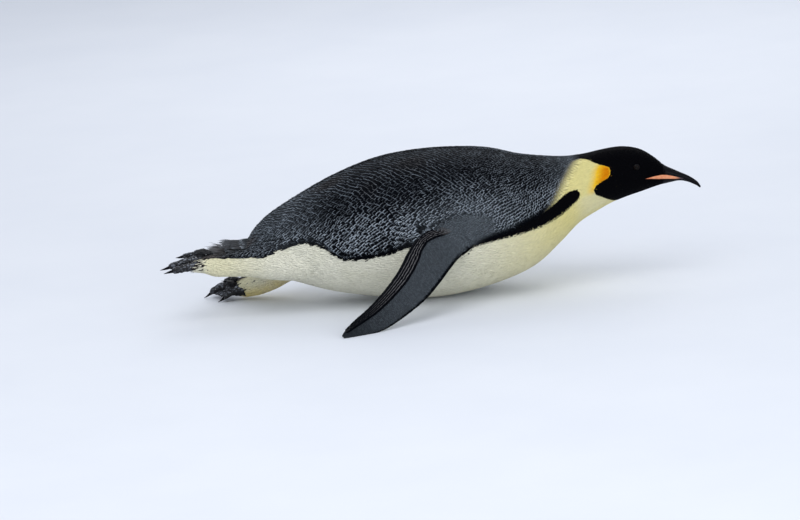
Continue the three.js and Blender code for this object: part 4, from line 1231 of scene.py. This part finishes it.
TOE_RADIUS, HALLUX_RADIUS, PAD_RADIUS = (10.0, 8.6, 6.8), (5.5, 5.2, 4.4), (7, 9.0, 8)
INNER_SLIMMER = 0.72             # the inner toe's radius as a share of the others'
CLAW_RADIUS, CLAW_ROOT = 3.8, 2.2 * MM       # its root lies this deep in the toe
HALLUX_CLAW = 0.6                # the hallux's claw as a share of the others
WEB_REACH = {"right": (0.86, 0.2), "left": (1.0, 0.08)}
# Rings along each part and points round them.
TOE_GRID, PALM_GRID, WEB_GRID, CLAW_GRID = (110, 36), (40, 40), 24, (26, 24)
PALM_INSIDE, PALM_FRONT = 14 * MM, 1.35      # its start inside the leg, and its end past the toes' roots
FOOT_VOXEL, FOOT_SMOOTHING = 0.00078, 3
TOE_SCUTES, PAD_SCUTES = (9, 0.9), (4, 0.7)  # how many scutes step up along a toe or pad, and by how many mm
# Hollows between these depths count as creases, against a surface averaged this often.
CREASE_DEPTHS, CREASE_ROUNDS = (0.1 * MM, 0.9 * MM), 70
# Scutes of the feet: size of the cells, depth of the cracks between them, in millimetres.
SCUTES = ((4.6, 0.8), (2.1, 0.22))
FOOT_SQUEEZE = 0.5               # lengths along the toes count for this share, which stretches the cells
# Primes that number the cubes of the cells, and what turns a number into a chance from 0 to 1.
CUBE_PRIMES, SEED_PRIME, CHANCE_PRIME = (73856093, 19349663, 83492791), 7919, 100003
CHANCE_WAVES, CHANCE_SCALE = (12.9898, 78.233, 37.719, 93.989), 43758.5453


def placed(p):
    """A place in millimetres of the driving sizes, in metres of the frame."""
    return (np.array(p, float) + (SHIFT_X, 0, 0)) * MM


def foot_axes(sole, ahead):
    """Directions across and over a part of the foot that runs ahead."""
    across = unit(np.cross(unit(np.array(sole, float)), ahead))
    return across, np.cross(ahead, across)


def palm_rings(foot):
    """Rings of the palm: ovals from inside the leg (t 0) through the ankle to the toes' roots (t 1), with
    a rounded front."""
    t, angle = ring_grid(PALM_FRONT, PALM_GRID)
    end, ankle = placed(foot["palm"]), placed(foot["ankle"])
    ahead = unit(end - ankle)
    start = ankle - PALM_INSIDE * ahead
    share = np.clip(t, 0, 1)
    front = np.sqrt(np.clip(1 - (np.clip(t - 0.95, 0, 1) / 0.42) ** 2, 0.02, 1))
    wide, high = (mix(heel, palm, share) * front * MM for heel, palm in zip(foot["heel"], foot["palm_size"]))
    return oval(start + (end - start) * t[..., None], *foot_axes(foot["sole"], ahead), wide, high, angle)


def toe_rings(bend, sole, radius, scutes, rise):
    """Rings along a bent path through root, knuckle and claw root: scutes step up on the side away from
    the sole, and pads swell on the sole under each joint."""
    path = [placed(p) for p in bend[:3]]
    t, angle = np.linspace(0, 1, TOE_GRID[0])[:, None], circle(TOE_GRID[1])[None]
    across, over = foot_axes(sole, bow_way(*path, t))
    size = np.interp(t, (0, 0.5, 1), radius) * MM
    size = size * mix(0.6, 1.0, np.sqrt(1 - (1 - np.clip(t / 0.08, 0, 1)) ** 2))
    size = size * np.sqrt(1 - 0.72 * np.clip((t - 0.9) / 0.1, 0, 1) ** 2)
    saw = (t * scutes) % 1
    step = rise * MM * (smooth(0, 0.5, saw) * smooth(1, 0.9, saw) * 0.8 + 0.2)
    pad = 0.17 * size * np.abs(np.sin(math.pi * (3 * t - 0.2))) ** 0.6
    height = np.sin(angle)
    reach = size + step * smooth(0.45, -0.1, height) + pad * smooth(0.2, 0.8, height)
    return oval(bow(*path, t)[:, None], across[:, None], over[:, None], reach, 0.86 * reach, angle)


def web(one, two, sole, reach):
    """Rings of a closed sheet between two toes: hollow front edge, thicker towards the palm. Reach gives
    how far along the toes it goes, and by how much less in its middle."""
    i, v = np.meshgrid(np.linspace(0, 1, WEB_GRID), np.linspace(0, 1, WEB_GRID), indexing="ij")
    t = (i * (reach[0] - reach[1] * np.sin(math.pi * v)))[..., None]
    edges = [bow(*[placed(p) for p in bend[:3]], t) for bend in (one, two)]
    sheet = edges[0] * (1 - v[..., None]) + edges[1] * v[..., None]
    depth = mix(5, 2.4, i)[..., None] / 2 * MM
    return np.concatenate([sheet + sole * (depth - 2 * MM), (sheet - sole * (depth + 2 * MM))[:, ::-1]], 1)


def cells(points, size, seed):
    """Worley cells: distances to the nearest and next of one random point per cube of the size, in sizes,
    and a random value that belongs to the nearest."""
    cube = np.floor(points / size).astype(np.int64)
    steps = np.stack(np.meshgrid(*[[-1, 0, 1]] * 3, indexing="ij"), -1).reshape(-1, 3)
    near, values = [], []
    for step in steps:
        other = cube + step
        number = ((other * CUBE_PRIMES).sum(-1) + seed * SEED_PRIME) % CHANCE_PRIME
        chance = [np.modf(np.abs(np.sin(number * k)) * CHANCE_SCALE)[0] for k in CHANCE_WAVES]
        near.append(np.linalg.norm(points / size - other - np.stack(chance[:3], -1), axis=-1))
        values.append(chance[3])
    near, values = np.array(near), np.array(values)
    order = np.argsort(near, axis=0)[:2]
    first, second = np.take_along_axis(near, order, 0)
    return first, second, np.take_along_axis(values, order[:1], 0)[0]


def hollows(points, triangles, normals, rounds):
    """How far each point lies under the surface that repeated averaging with its neighbours gives."""
    a, b, count = triangles.T.ravel(), np.roll(triangles, -1, 1).T.ravel(), len(points)
    size = np.bincount(a, minlength=count) + np.bincount(b, minlength=count)
    soft = points
    for _ in range(rounds):
        total = [np.bincount(a, at[b], count) + np.bincount(b, at[a], count) for at in soft.T]
        soft = (soft + np.stack(total, -1) / size[:, None]) / 2
    return dot(soft - points, normals)[:, 0]


def make_foot(name):
    """Palm, toes, webs, hallux and heel pad fused into one skin, then raised into scutes: plates of two
    sizes, longer along the toes, with cracks between them."""
    foot = FEET[name]
    sole = unit(np.array(foot["sole"], float))
    toes = list(foot["toes"].values())
    webs = [web(one, two, sole, WEB_REACH[name]) for one, two in zip(toes, toes[1:])]
    radii = [np.array(TOE_RADIUS) * share for share in (INNER_SLIMMER, 1.0, 1.0)]
    rings = [palm_rings(foot), *webs]
    rings += [toe_rings(bend, sole, radius, *TOE_SCUTES) for bend, radius in zip(toes, radii)]
    for part, radius in (("hallux", HALLUX_RADIUS), ("heel_pad", PAD_RADIUS)):
        rings.append(toe_rings(foot[part], sole, radius, *PAD_SCUTES))
    made = remeshed(joined(f"foot_skin_{name}", [tube(r) for r in rings]), FOOT_VOXEL, FOOT_SMOOTHING)
    points, triangles, normals = arrays_of(made)
    crease = smooth(*CREASE_DEPTHS, hollows(points, triangles, normals, CREASE_ROUNDS))
    way = unit(placed(toes[1][2]) - placed(toes[1][0]))
    shrunk = points - (1 - FOOT_SQUEEZE) * (points @ way)[:, None] * way
    height = 0.4 * waves(points, 0.010, 201) - 0.8 * crease
    tops = []
    for k, (size, depth) in enumerate(SCUTES):
        first, second, chance = cells(shrunk, size * MM, 5 + k)
        plate = smooth(0.0, 0.28, second - first) * (1 - 0.35 * np.clip(first, 0, 1) ** 2)
        height += depth * (plate - 0.6)
        tops.append((plate, chance))
    points += normals * height[:, None] * MM
    points[:, 2] = np.maximum(points[:, 2], FLOOR_CLEAR)
    set_points(made, points)
    (broad, chance), (small, speck) = tops
    off_heel = np.linalg.norm(points - placed(foot["heel_pad"][1]), axis=-1)
    # The crown mark: tops of the scutes, paler where worn and as painted highlight where they face the sole's
    # side, which faces up here; none in the creases, which stay dark as painted shade; fewer near the heel
    # pad.
    lit_and_worn = mix(0.45, 1.0, smooth(-0.2, 0.8, normals @ sole)) * (1 - crease)
    lit_and_worn *= mix(0.3, 1.0, smooth(14 * MM, 30 * MM, off_heel))
    add_marks(made.data, {"crown": broad * mix(0.6, 1.0, small) * lit_and_worn, "vary": chance,
                          "speck": speck * (small > 0.6) * (crease < 0.2)})
    return made


def claw_rings(bend, sole, size):
    """Curved cone from the end of a toe, bent towards the sole."""
    before, start, end = (placed(p) for p in bend[-3:])
    ahead = unit(start - before)
    start = start - ahead * CLAW_ROOT
    path = (start, start + ahead * np.linalg.norm(end - start) * 0.5, end)
    t, angle = np.linspace(0, 1, CLAW_GRID[0])[:, None], circle(CLAW_GRID[1])[None]
    across, over = foot_axes(sole, bow_way(*path, t))
    radius = mix(CLAW_RADIUS, 0.25, t ** 1.35) * size * MM
    groove = 1 - 0.14 * smooth(0.75, 1.0, -np.sin(angle))
    rings = oval(bow(*path, t)[:, None], across[:, None], over[:, None],
                 0.92 * radius, 1.02 * radius * groove, angle)
    rings[..., 2] = np.maximum(rings[..., 2], FLOOR_CLEAR)
    return rings


feet, claws = {}, {}
for name in SIDES:
    feet[name] = make_foot(name)
    toes = dict(FEET[name]["toes"], hallux=FEET[name]["hallux"])
    for toe, bend in toes.items():
        rings = claw_rings(bend, FEET[name]["sole"], HALLUX_CLAW if toe == "hallux" else 1.0)
        claws[f"{toe}_{name}"] = solid_tube(f"claw_horn_{toe}_{name}", rings)

# ---- bill ---------------------------------------------------------------------------------------

BILL_START, BILL_BARE = 18.8, 19.7      # the horn starts under the feathers and is bare from here
BILL_ENDS, BILL_RINGS, BILL_POINTS, BILL_FLOOR = (22.25, 23), (150, 190), 57, 16     # lower, upper
MOUTH_OPEN = 0.35 * MM
MOUTH_STEPS, MOUTH_NEAR = 300, 2 * MM    # steps of its search, and how near to it the halves part
# Height of the plate as a share of its outline, and how far its middle stands out.
PLATE_HEIGHT, PLATE_CROWN = 0.84, 1.1 * MM
PLATE_GRID, PLATE_SMOOTHING = (90, 19), 13


def mouth_height(x):
    return np.interp(x, *(MOUTH * MM).T)


def mouth_angle(u):
    """Angle above the side line at which each section crosses the line of the mouth."""
    angle = np.radians(np.linspace(-89, 89, MOUTH_STEPS))
    points = body_point(*np.meshgrid(u, angle, indexing="ij"))
    over = points[..., 2] - mouth_height(points[..., 0])
    return np.array([np.interp(0, row, angle) for row in over])


def mandible(upper):
    """Rings of the upper or lower mandible: the body's section above or below the mouth line, closed
    by a hollow floor across it."""
    u = np.linspace(BILL_START, BILL_ENDS[upper], BILL_RINGS[upper])
    sign = 1 if upper else -1
    corner = mouth_angle(u)[:, None]
    share = np.linspace(0, 1, BILL_POINTS)[None, :]
    start, end = (corner, math.pi - corner) if upper else (math.pi - corner, 2 * math.pi + corner)
    inset = mix(0.05, 1.0, smooth(BILL_BARE, BILL_START, u))[:, None] * MM
    outer = body_point(u[:, None] + 0 * share, start + (end - start) * share, inset)
    across = np.linspace(0, 1, BILL_FLOOR)[None, 1:-1, None]
    back = outer[:, -1:] * (1 - across) + outer[:, :1] * across
    back[..., 2] += sign * np.sin(math.pi * across[..., 0]) * 0.35 * np.abs(outer[:, :1, 1])
    rings = np.concatenate([outer, back], 1)
    off_mouth = np.abs(rings[..., 2] - mouth_height(rings[..., 0]))
    rings[..., 2] += MOUTH_OPEN / 2 * sign * smooth(MOUTH_NEAR, 0.0, off_mouth)
    if upper:
        a, b = NOSTRIL * MM
        flat = rings[..., [0, 2]] - a
        t = np.clip((flat @ (b - a)) / ((b - a) @ (b - a)), 0, 1)
        off = np.linalg.norm(flat - t[..., None] * (b - a), axis=-1)
        rings[..., 1] *= 1 - 0.28 * smooth(1.1 * MM, 0.3 * MM, off)
    return rings


def softened(values):
    """A curve averaged over a bell of its neighbours, its ends held."""
    bell = np.hanning(PLATE_SMOOTHING)
    padded = np.pad(values, PLATE_SMOOTHING // 2, mode="reflect", reflect_type="odd")
    return np.convolve(padded, bell / bell.sum(), "valid")


def bill_plate(side):
    """The coloured plate of the lower mandible: a crowned sheet between its upper and lower outline,
    set on the side of the head and bill, closed by a back that lies inside."""
    a, b = (np.linspace(0, 1, count) for count in PLATE_GRID)
    x = mix(PLATE_UPPER[0, 0], PLATE_UPPER[-1, 0], a)
    high, low = (np.interp(x, *edge.T) for edge in (PLATE_UPPER, PLATE_LOWER))
    middle = (high + low) / 2
    high, low = (softened(mix(middle, edge, PLATE_HEIGHT)) for edge in (high, low))
    xx = (x * MM)[:, None] + 0 * b
    zz = (low[:, None] + (high - low)[:, None] * b) * MM
    arch = np.sqrt(np.clip(np.sin(math.pi * a), 0, 1))[:, None]
    crown = np.sqrt(np.clip(1 - (2 * b - 1) ** 2, 0, 1)) * arch
    wide = side_of_body(xx, zz)
    face, back = (np.stack([xx, side * y, zz], -1) for y in (wide + PLATE_CROWN * crown - 0.1 * MM,
                                                            wide - 2.0 * MM))
    return np.concatenate([face, back[:, ::-1]], 1)


bill_upper = solid_tube("bill_upper_horn", mandible(True))
bill_lower = solid_tube("bill_lower_horn", mandible(False))
plates = {name: solid_tube(f"bill_plate_face_{name}", bill_plate(side)) for name, side in SIDES.items()}

# ---- eyes ---------------------------------------------------------------------------------------

LID_OPENING = (6.6 * MM, 5.0 * MM)
LID_WIDTH, LID_THICK = 2.2 * MM, 0.9 * MM
GLOBE_GRID, LID_GRID = (60, 64), (96, 18)


def globe(centre, radius, side):
    """Eyeball of rings about its own axis, with a slightly raised cornea."""
    polar = np.linspace(0.02, math.pi - 0.02, GLOBE_GRID[0])[:, None]
    angle = circle(GLOBE_GRID[1])[None, :]
    reach = radius * (1 + 0.03 * smooth(0.6, 0.0, polar))
    x = reach * np.sin(polar) * np.cos(angle)
    z = reach * np.sin(polar) * np.sin(angle)
    y = side * reach * np.cos(polar) + 0 * angle
    return centre + np.stack([x, y, z], -1)


def lids(centre, radius, side):
    """Bare rim of skin round the almond opening: a closed band that lies on the eyeball inside and on
    the skin of the head outside."""
    angle, turn = (circle(count) for count in LID_GRID)
    c, s = np.cos(angle), np.sin(angle)
    almond = 1 - 0.22 * np.abs(c) ** 2
    inner = np.stack([LID_OPENING[0] * c, LID_OPENING[1] * s * almond], -1)
    wide = LID_WIDTH * (0.5 - 0.5 * np.cos(turn))
    flat = inner[:, None] + unit(inner)[:, None] * wide[None, :, None]
    off = np.linalg.norm(flat, axis=-1)
    ball = np.sqrt(np.maximum((radius * 1.01) ** 2 - off ** 2, (0.35 * radius) ** 2))
    height = ball + LID_THICK * (0.15 + 0.6 * np.sin(turn)) + 0.18 * LID_THICK * np.sin(3 * turn)
    return np.stack([centre[0] + flat[..., 0], centre[1] + side * height, centre[2] + flat[..., 1]], -1)


eyes, rims = {}, {}
for name, side in SIDES.items():
    centre, radius = eye_place(name)
    eyes[name] = solid_tube(f"eyeball_{name}", globe(centre, radius, side))
    rims[name] = torus(f"eyelids_{name}", lids(centre, radius, side))

# ---- materials ----------------------------------------------------------------------------------

HORN_GRAIN = (260, 900, 900)     # fine lines per metre along and across the bill


class Value:
    """A number in a shader: Python arithmetic on it adds Math nodes."""

    def __init__(self, shader, socket):
        self.shader, self.socket = shader, socket

    def _math(self, operation, *values):
        node = self.shader.node("ShaderNodeMath", {"operation": operation}, dict(enumerate(values)))
        return Value(self.shader, node.outputs[0])

    def __add__(self, other):
        return self._math("ADD", self, other)

    def __sub__(self, other):
        return self._math("SUBTRACT", self, other)

    def __mul__(self, other):
        return self._math("MULTIPLY", self, other)

    def __truediv__(self, other):
        return self._math("DIVIDE", self, other)

    def __pow__(self, other):
        return self._math("POWER", self, other)

    def __rsub__(self, other):
        return self._math("SUBTRACT", other, self)

    __radd__, __rmul__ = __add__, __mul__

    def least(self, other):
        return self._math("MINIMUM", self, other)

    def most(self, other):
        return self._math("MAXIMUM", self, other)

    def distance(self):
        return self._math("ABSOLUTE", self)

    def ramp(self, low, high):
        """0 at low, 1 at high, with an S curve between."""
        node = self.shader.node("ShaderNodeMapRange", {"interpolation_type": "SMOOTHSTEP"},
                                {"Value": self, "From Min": low, "From Max": high})
        return Value(self.shader, node.outputs[0])


class Shader:
    """A material's nodes. node() adds one of a type, sets its settings, then its sockets: values, other
    sockets or the names of colours."""

    def __init__(self, name, **fixed):
        self.material = bpy.data.materials.new(name)
        self.material.use_nodes = True
        self.tree = self.material.node_tree
        self.surface = self.tree.nodes["Principled BSDF"]
        for key, value in fixed.items():
            self.surface.inputs[key.replace("_", " ")].default_value = value

    def node(self, kind, settings=None, inputs=None):
        node = self.tree.nodes.new(kind)
        for key, value in (settings or {}).items():
            setattr(node, key, value)
        for key, value in (inputs or {}).items():
            self.feed(node.inputs[key], value)
        return node

    def feed(self, socket, value):
        value = value.socket if isinstance(value, Value) else value
        value = linear(COLOURS[value]) if isinstance(value, str) else value
        if isinstance(value, bpy.types.NodeSocket):
            self.tree.links.new(value, socket)
        else:
            socket.default_value = value

    def marks(self, names):
        """The marks that the vertices carry, in the order of the names."""
        nodes = [self.node("ShaderNodeAttribute", {"attribute_name": name}) for name in names.split()]
        return [Value(self, node.outputs["Fac"]) for node in nodes]

    def position(self, scale=(1, 1, 1)):
        """Object coordinates, stretched by the scale."""
        place = self.node("ShaderNodeTexCoord").outputs["Object"]
        return self.node("ShaderNodeMapping", None, {"Vector": place, "Scale": scale}).outputs[0]

    def places(self):
        """Object coordinates as three values."""
        return [Value(self, out) for out in
                self.node("ShaderNodeSeparateXYZ", None, {"Vector": self.position()}).outputs]

    def noise(self, size, detail=3.0, rough=0.55, vector=None):
        """Noise from 0 to 1 whose features are about the size, in metres."""
        node = self.node("ShaderNodeTexNoise", None, {"Vector": vector or self.position(), "Scale": 1 / size,
                                                      "Detail": detail, "Roughness": rough})
        return Value(self, node.outputs["Fac"])

    def blend(self, a, b, amount):
        """Colour a turned into colour b by the amount."""
        return self.node("ShaderNodeMix", {"data_type": "RGBA"}, {0: amount, 6: a, 7: b}).outputs[2]

    def shade(self, colour, amount):
        """The colour with its lightness scaled by the amount."""
        grey = self.node("ShaderNodeCombineColor", None, dict.fromkeys(range(3), amount)).outputs[0]
        return self.node("ShaderNodeVectorMath", {"operation": "MULTIPLY"}, {0: colour, 1: grey}).outputs[0]

    def finish(self, colour, roughness=None, height=None, strength=0.3, depth=0.001):
        self.feed(self.surface.inputs["Base Color"], colour)
        if roughness is not None:
            self.feed(self.surface.inputs["Roughness"], roughness)
        if height is not None:
            bump = self.node("ShaderNodeBump", None,
                             {"Height": height, "Strength": strength, "Distance": depth})
            self.feed(self.surface.inputs["Normal"], bump.outputs[0])
        return self.material


def plumage():
    """Feathers of the body: dark grooves and light rims on the slate back, cream underside, gold patch, jet
    hood, all from the marks that each feather carries, with fine barbs out from its shaft. The grooves are
    the feathers' dark base, near-black as painted shade; the rims are their pale tips, kept on the lit edge
    as painted highlight. The rim is the part nearer the lit edge than a share of the half width, which
    narrows to the tip."""
    s = Shader("plumage", Specular_IOR_Level=0.03)
    along, side, vary, row = s.marks("along side vary row")
    pale, jet, hood, grey, tipped, yellow, warm, lean = s.marks("pale jet hood grey tipped yellow warm lean")
    place = {0: along * 9.0 - side.distance() * 4.0, 1: side * 1.2, 2: vary * 90.0}
    barbs = s.noise(0.16, 2.0, 0.6, s.node("ShaderNodeCombineXYZ", None, place).outputs[0])
    narrow = ((1.0 - along) * 2.27).least(1.0)
    # Painted highlight: the rim is the pale tip, kept on the lit edge.
    above, below = (1.0 - side) + (0.0 - lean).most(0.0), (1.0 + side) + lean.most(0.0)
    rim = (above.least(below) * narrow).ramp(tipped * 0.34 + 0.16, 0.1) * along.ramp(0.42, 0.58)
    rim = rim * (1.0 - row) + side.ramp(0.3, 0.62) * row * 0.75
    rim = (rim * tipped * (vary * 1.1 + 0.45)).least(1.0)
    earthy = yellow * (1.0 - pale)
    # The slate feathers' dark base, near-black as painted shade in the grooves between them.
    groove = s.blend("groove", s.blend("grey", "brown", earthy), grey * 0.9)
    slate = s.blend(s.blend(groove, s.blend("tip", "brown", earthy), rim), "jet", jet)
    cream = s.blend("cream", "shade", s.noise(0.06, 3.0).ramp(0.42, 0.75) * 0.3)
    cream = s.blend(cream, "neck", yellow)
    cream = s.blend(cream, "gold", (warm * 2.0).least(1.0))
    cream = s.blend(cream, "orange", (warm * 2.0 - 1.0).most(0.0))
    colour = s.blend(s.blend(slate, cream, pale), "jet", hood.ramp(0.45, 0.55))
    depth = 0.3 - pale * 0.2
    # Each feather darker towards its root, under the feathers that lie over it: painted shade.
    level = (barbs * depth + (pale * 0.1 + 0.85)) * (along.ramp(0.0, 0.7) * depth + 0.72 + pale * 0.18)
    level = level * (vary * 0.1 + 0.95)
    return s.finish(s.shade(colour, level), (barbs * 0.25 + 0.45) + pale * 0.08, barbs, 0.3, 0.0005)


def foot_skin():
    """Black scaly skin: dark cracks between the scutes, their tops paler where worn and where painted
    highlight falls, a few bone-white specks.
    """
    s = Shader("foot_skin", Specular_IOR_Level=0.3)
    crown, vary, speck = s.marks("crown vary speck")
    wide, fine = s.noise(0.016, 4.0), s.noise(0.0009, 3.0)
    # Paler tops of the scutes: wear, and painted highlight.
    worn = crown.ramp(0.3, 0.95) * (vary * 1.1) * (wide * 0.9 + 0.5)
    colour = s.blend(s.blend("crack", "scute", worn.least(1.0)), "speck", speck.ramp(0.968, 0.98) * 0.75)
    return s.finish(colour, s.noise(0.004) * 0.3 + 0.3, fine, 0.35, 0.0004)


def horn(name, dark, light, rough=0.28):
    """Smooth horn with fine growth lines along the bill or claw and a thin worn bloom."""
    s = Shader(name, Specular_IOR_Level=0.08)
    lines = s.noise(1.0, 3.0, 0.5, s.position(HORN_GRAIN))
    bloom = s.noise(0.012, 4.0)
    colour = s.blend(dark, light, (lines * 0.6 + bloom * 0.6 - 0.25).most(0).least(1))
    return s.finish(colour, bloom * 0.22 + rough - 0.06, lines, 0.12, 0.0003)


def plate_horn():
    """The salmon plate: orange-pink, redder at the gape, thin dark stain at the front end."""
    s = Shader("plate_horn", Specular_IOR_Level=0.5)
    x, _, _ = s.places()
    mottle = s.noise(0.006, 4.0)
    colour = s.blend("salmon", "salmon_pale", mottle.ramp(0.3, 0.7))
    colour = s.blend(colour, "gape", x.ramp(0.503, 0.482) * 0.6)
    colour = s.blend(colour, "stain", (x + mottle * 0.008).ramp(0.549, 0.564))
    return s.finish(colour, mottle * 0.2 + 0.28, s.noise(1.0, 3.0, 0.5, s.position(HORN_GRAIN)), 0.08, 0.0003)


def eye_wet():
    """Dark brown iris round a black pupil, under a wet clear coat."""
    s = Shader("eye_wet", Coat_Weight=0.08, Coat_Roughness=0.03, Roughness=0.2, Specular_IOR_Level=0.05)
    centre, radius = eye_place("right")
    x, _, z = s.places()
    x, z = x - centre[0], z - centre[2]
    off = (x * x + z * z) ** 0.5 / radius
    iris = s.blend("iris", "iris_streak", s.noise(0.0009, 2.0, 0.6).ramp(0.35, 0.7))
    colour = s.blend(s.blend(iris, "pupil", off.ramp(0.46, 0.40)), "eye_rim", off.ramp(0.66, 0.74))
    return s.finish(colour)


def lid_skin():
    """Bare black rim of the eye, finely wrinkled."""
    s = Shader("lid_skin", Specular_IOR_Level=0.12)
    folds = s.noise(0.0012, 3.0)
    return s.finish(s.blend("lid", "lid_fold", folds), folds * 0.3 + 0.3, folds, 0.5, 0.0004)


def paper_floor():
    """Pale matt floor."""
    s = Shader("paper_floor", Roughness=0.9)
    grain = s.noise(0.4, 3.0)
    return s.finish(s.blend("floor", "floor_pale", grain), grain * 0.1 + 0.82)


coat_material, foot_material = plumage(), foot_skin()
bill_material = horn("bill_horn_dark", "bill", "bill_worn")
claw_material = horn("claw_horn_black", "claw", "claw_worn", 0.26)
plate_material, eye_material, lid_material = plate_horn(), eye_wet(), lid_skin()


def dress(obj, material, slot, *nodes):
    """Gives a piece its material and its body and hides the nodes that it stands for; the slot is not used.
    """
    obj.data.materials.clear()
    obj.data.materials.append(material)
    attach(obj, "root")
    if nodes:
        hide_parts(*nodes)


dress(skin, coat_material, "back_plumage", "torso", "neck", "head", "flipper_right", "flipper_left",
      "leg_right", "leg_left")
for slot, pieces in (("back_plumage", back), ("belly_plumage", underside + legs), ("head_plumage", hood),
                     ("flipper_plumage", flippers)):
    for obj in pieces:
        dress(obj, coat_material, slot)
for name in SIDES:
    dress(feet[name], foot_material, "foot_scutes", f"foot_{name}")
    dress(plates[name], plate_material, "bill_plate", f"bill_plate_{name}")
    dress(eyes[name], eye_material, "eye", f"eye_{name}")
    dress(rims[name], lid_material, "head_plumage")
for key, obj in claws.items():
    dress(obj, claw_material, "claw_horn", f"claw_{key}")
dress(tail, coat_material, "tail_feathers", "tail")
dress(bill_upper, bill_material, "bill_horn", "bill_upper")
dress(bill_lower, bill_material, "bill_horn", "bill_lower")

# ---- floor, light and camera --------------------------------------------------------------------

FLOOR_SIZE, FLOOR_CELLS = 30.0, 8
# Lights: place, size, power and colour; they look at the bird.
LIGHTS = {
    "key": ((-0.9, -2.0, 3.4), 3.0, 54, (1, 1, 1)),
    "fill": ((2.35, -4.41, 1.6), 2.7, 66, (0.94, 0.97, 1.0)),
    "back": ((0.5, 3.0, 2.6), 2.5, 34, (1, 1, 1)),
}
LIGHT_TARGET = Vector((0, 0, 0.15))
SKY_STRENGTH = 0.86
CAMERA_DISTANCE = 12.0
CAMERA_ELEVATION = math.radians(13)
CAMERA_ROLL = math.radians(4.5)
CAMERA_TARGET = np.array([-0.0743, 0.0, 0.0827])
SENSOR_WIDTH = 36.0              # millimetres
VIEW_WIDTH = 800 / 450           # metres across the picture at the target's distance


def make_floor():
    side = FLOOR_CELLS + 1
    edge = np.linspace(-FLOOR_SIZE / 2, FLOOR_SIZE / 2, side)
    x, y = np.meshgrid(edge, edge, indexing="ij")
    points = np.stack([x.ravel(), y.ravel(), np.zeros(x.size)], -1)
    corner = np.arange(side * side).reshape(side, side)[:-1, :-1].ravel()
    floor = mesh_object("floor", points, corner[:, None] + (0, side, side + 1, 1))
    floor.data.materials.append(paper_floor())


def make_lights():
    """Soft square lights."""
    for name, (place, size, power, colour) in LIGHTS.items():
        lamp = bpy.data.lights.new(name, "AREA")
        lamp.energy, lamp.size, lamp.color = power, size, colour
        obj = linked(name, lamp)
        obj.location = place
        obj.rotation_euler = (LIGHT_TARGET - Vector(place)).to_track_quat("-Z", "Y").to_euler()


def make_world():
    world = bpy.data.worlds.new("studio")
    bpy.context.scene.world = world
    world.use_nodes = True
    sky = world.node_tree.nodes["Background"]
    sky.inputs[0].default_value = linear(COLOURS["sky"])
    sky.inputs[1].default_value = SKY_STRENGTH


def make_camera():
    """Camera behind the target at the distance, raised and rolled, with a lens for the scale."""
    right = Vector((1, 0, 0))
    forward = Vector((0, math.cos(CAMERA_ELEVATION), -math.sin(CAMERA_ELEVATION)))
    up = right.cross(forward)
    turned_right = right * math.cos(CAMERA_ROLL) - up * math.sin(CAMERA_ROLL)
    turned_up = right * math.sin(CAMERA_ROLL) + up * math.cos(CAMERA_ROLL)
    lens = bpy.data.cameras.new("camera")
    lens.sensor_width = SENSOR_WIDTH
    lens.lens = SENSOR_WIDTH * CAMERA_DISTANCE / VIEW_WIDTH
    lens.clip_end = 100
    camera = linked("camera", lens)
    camera.location = Vector(CAMERA_TARGET) - forward * CAMERA_DISTANCE
    columns = [turned_right, turned_up, -forward]
    matrix = [[columns[c][r] for c in range(3)] for r in range(3)]
    camera.rotation_euler = Matrix(matrix).to_euler()
    bpy.context.scene.camera = camera


bpy.context.scene.view_settings.view_transform = "Standard"
make_floor()
make_lights()
make_world()
make_camera()
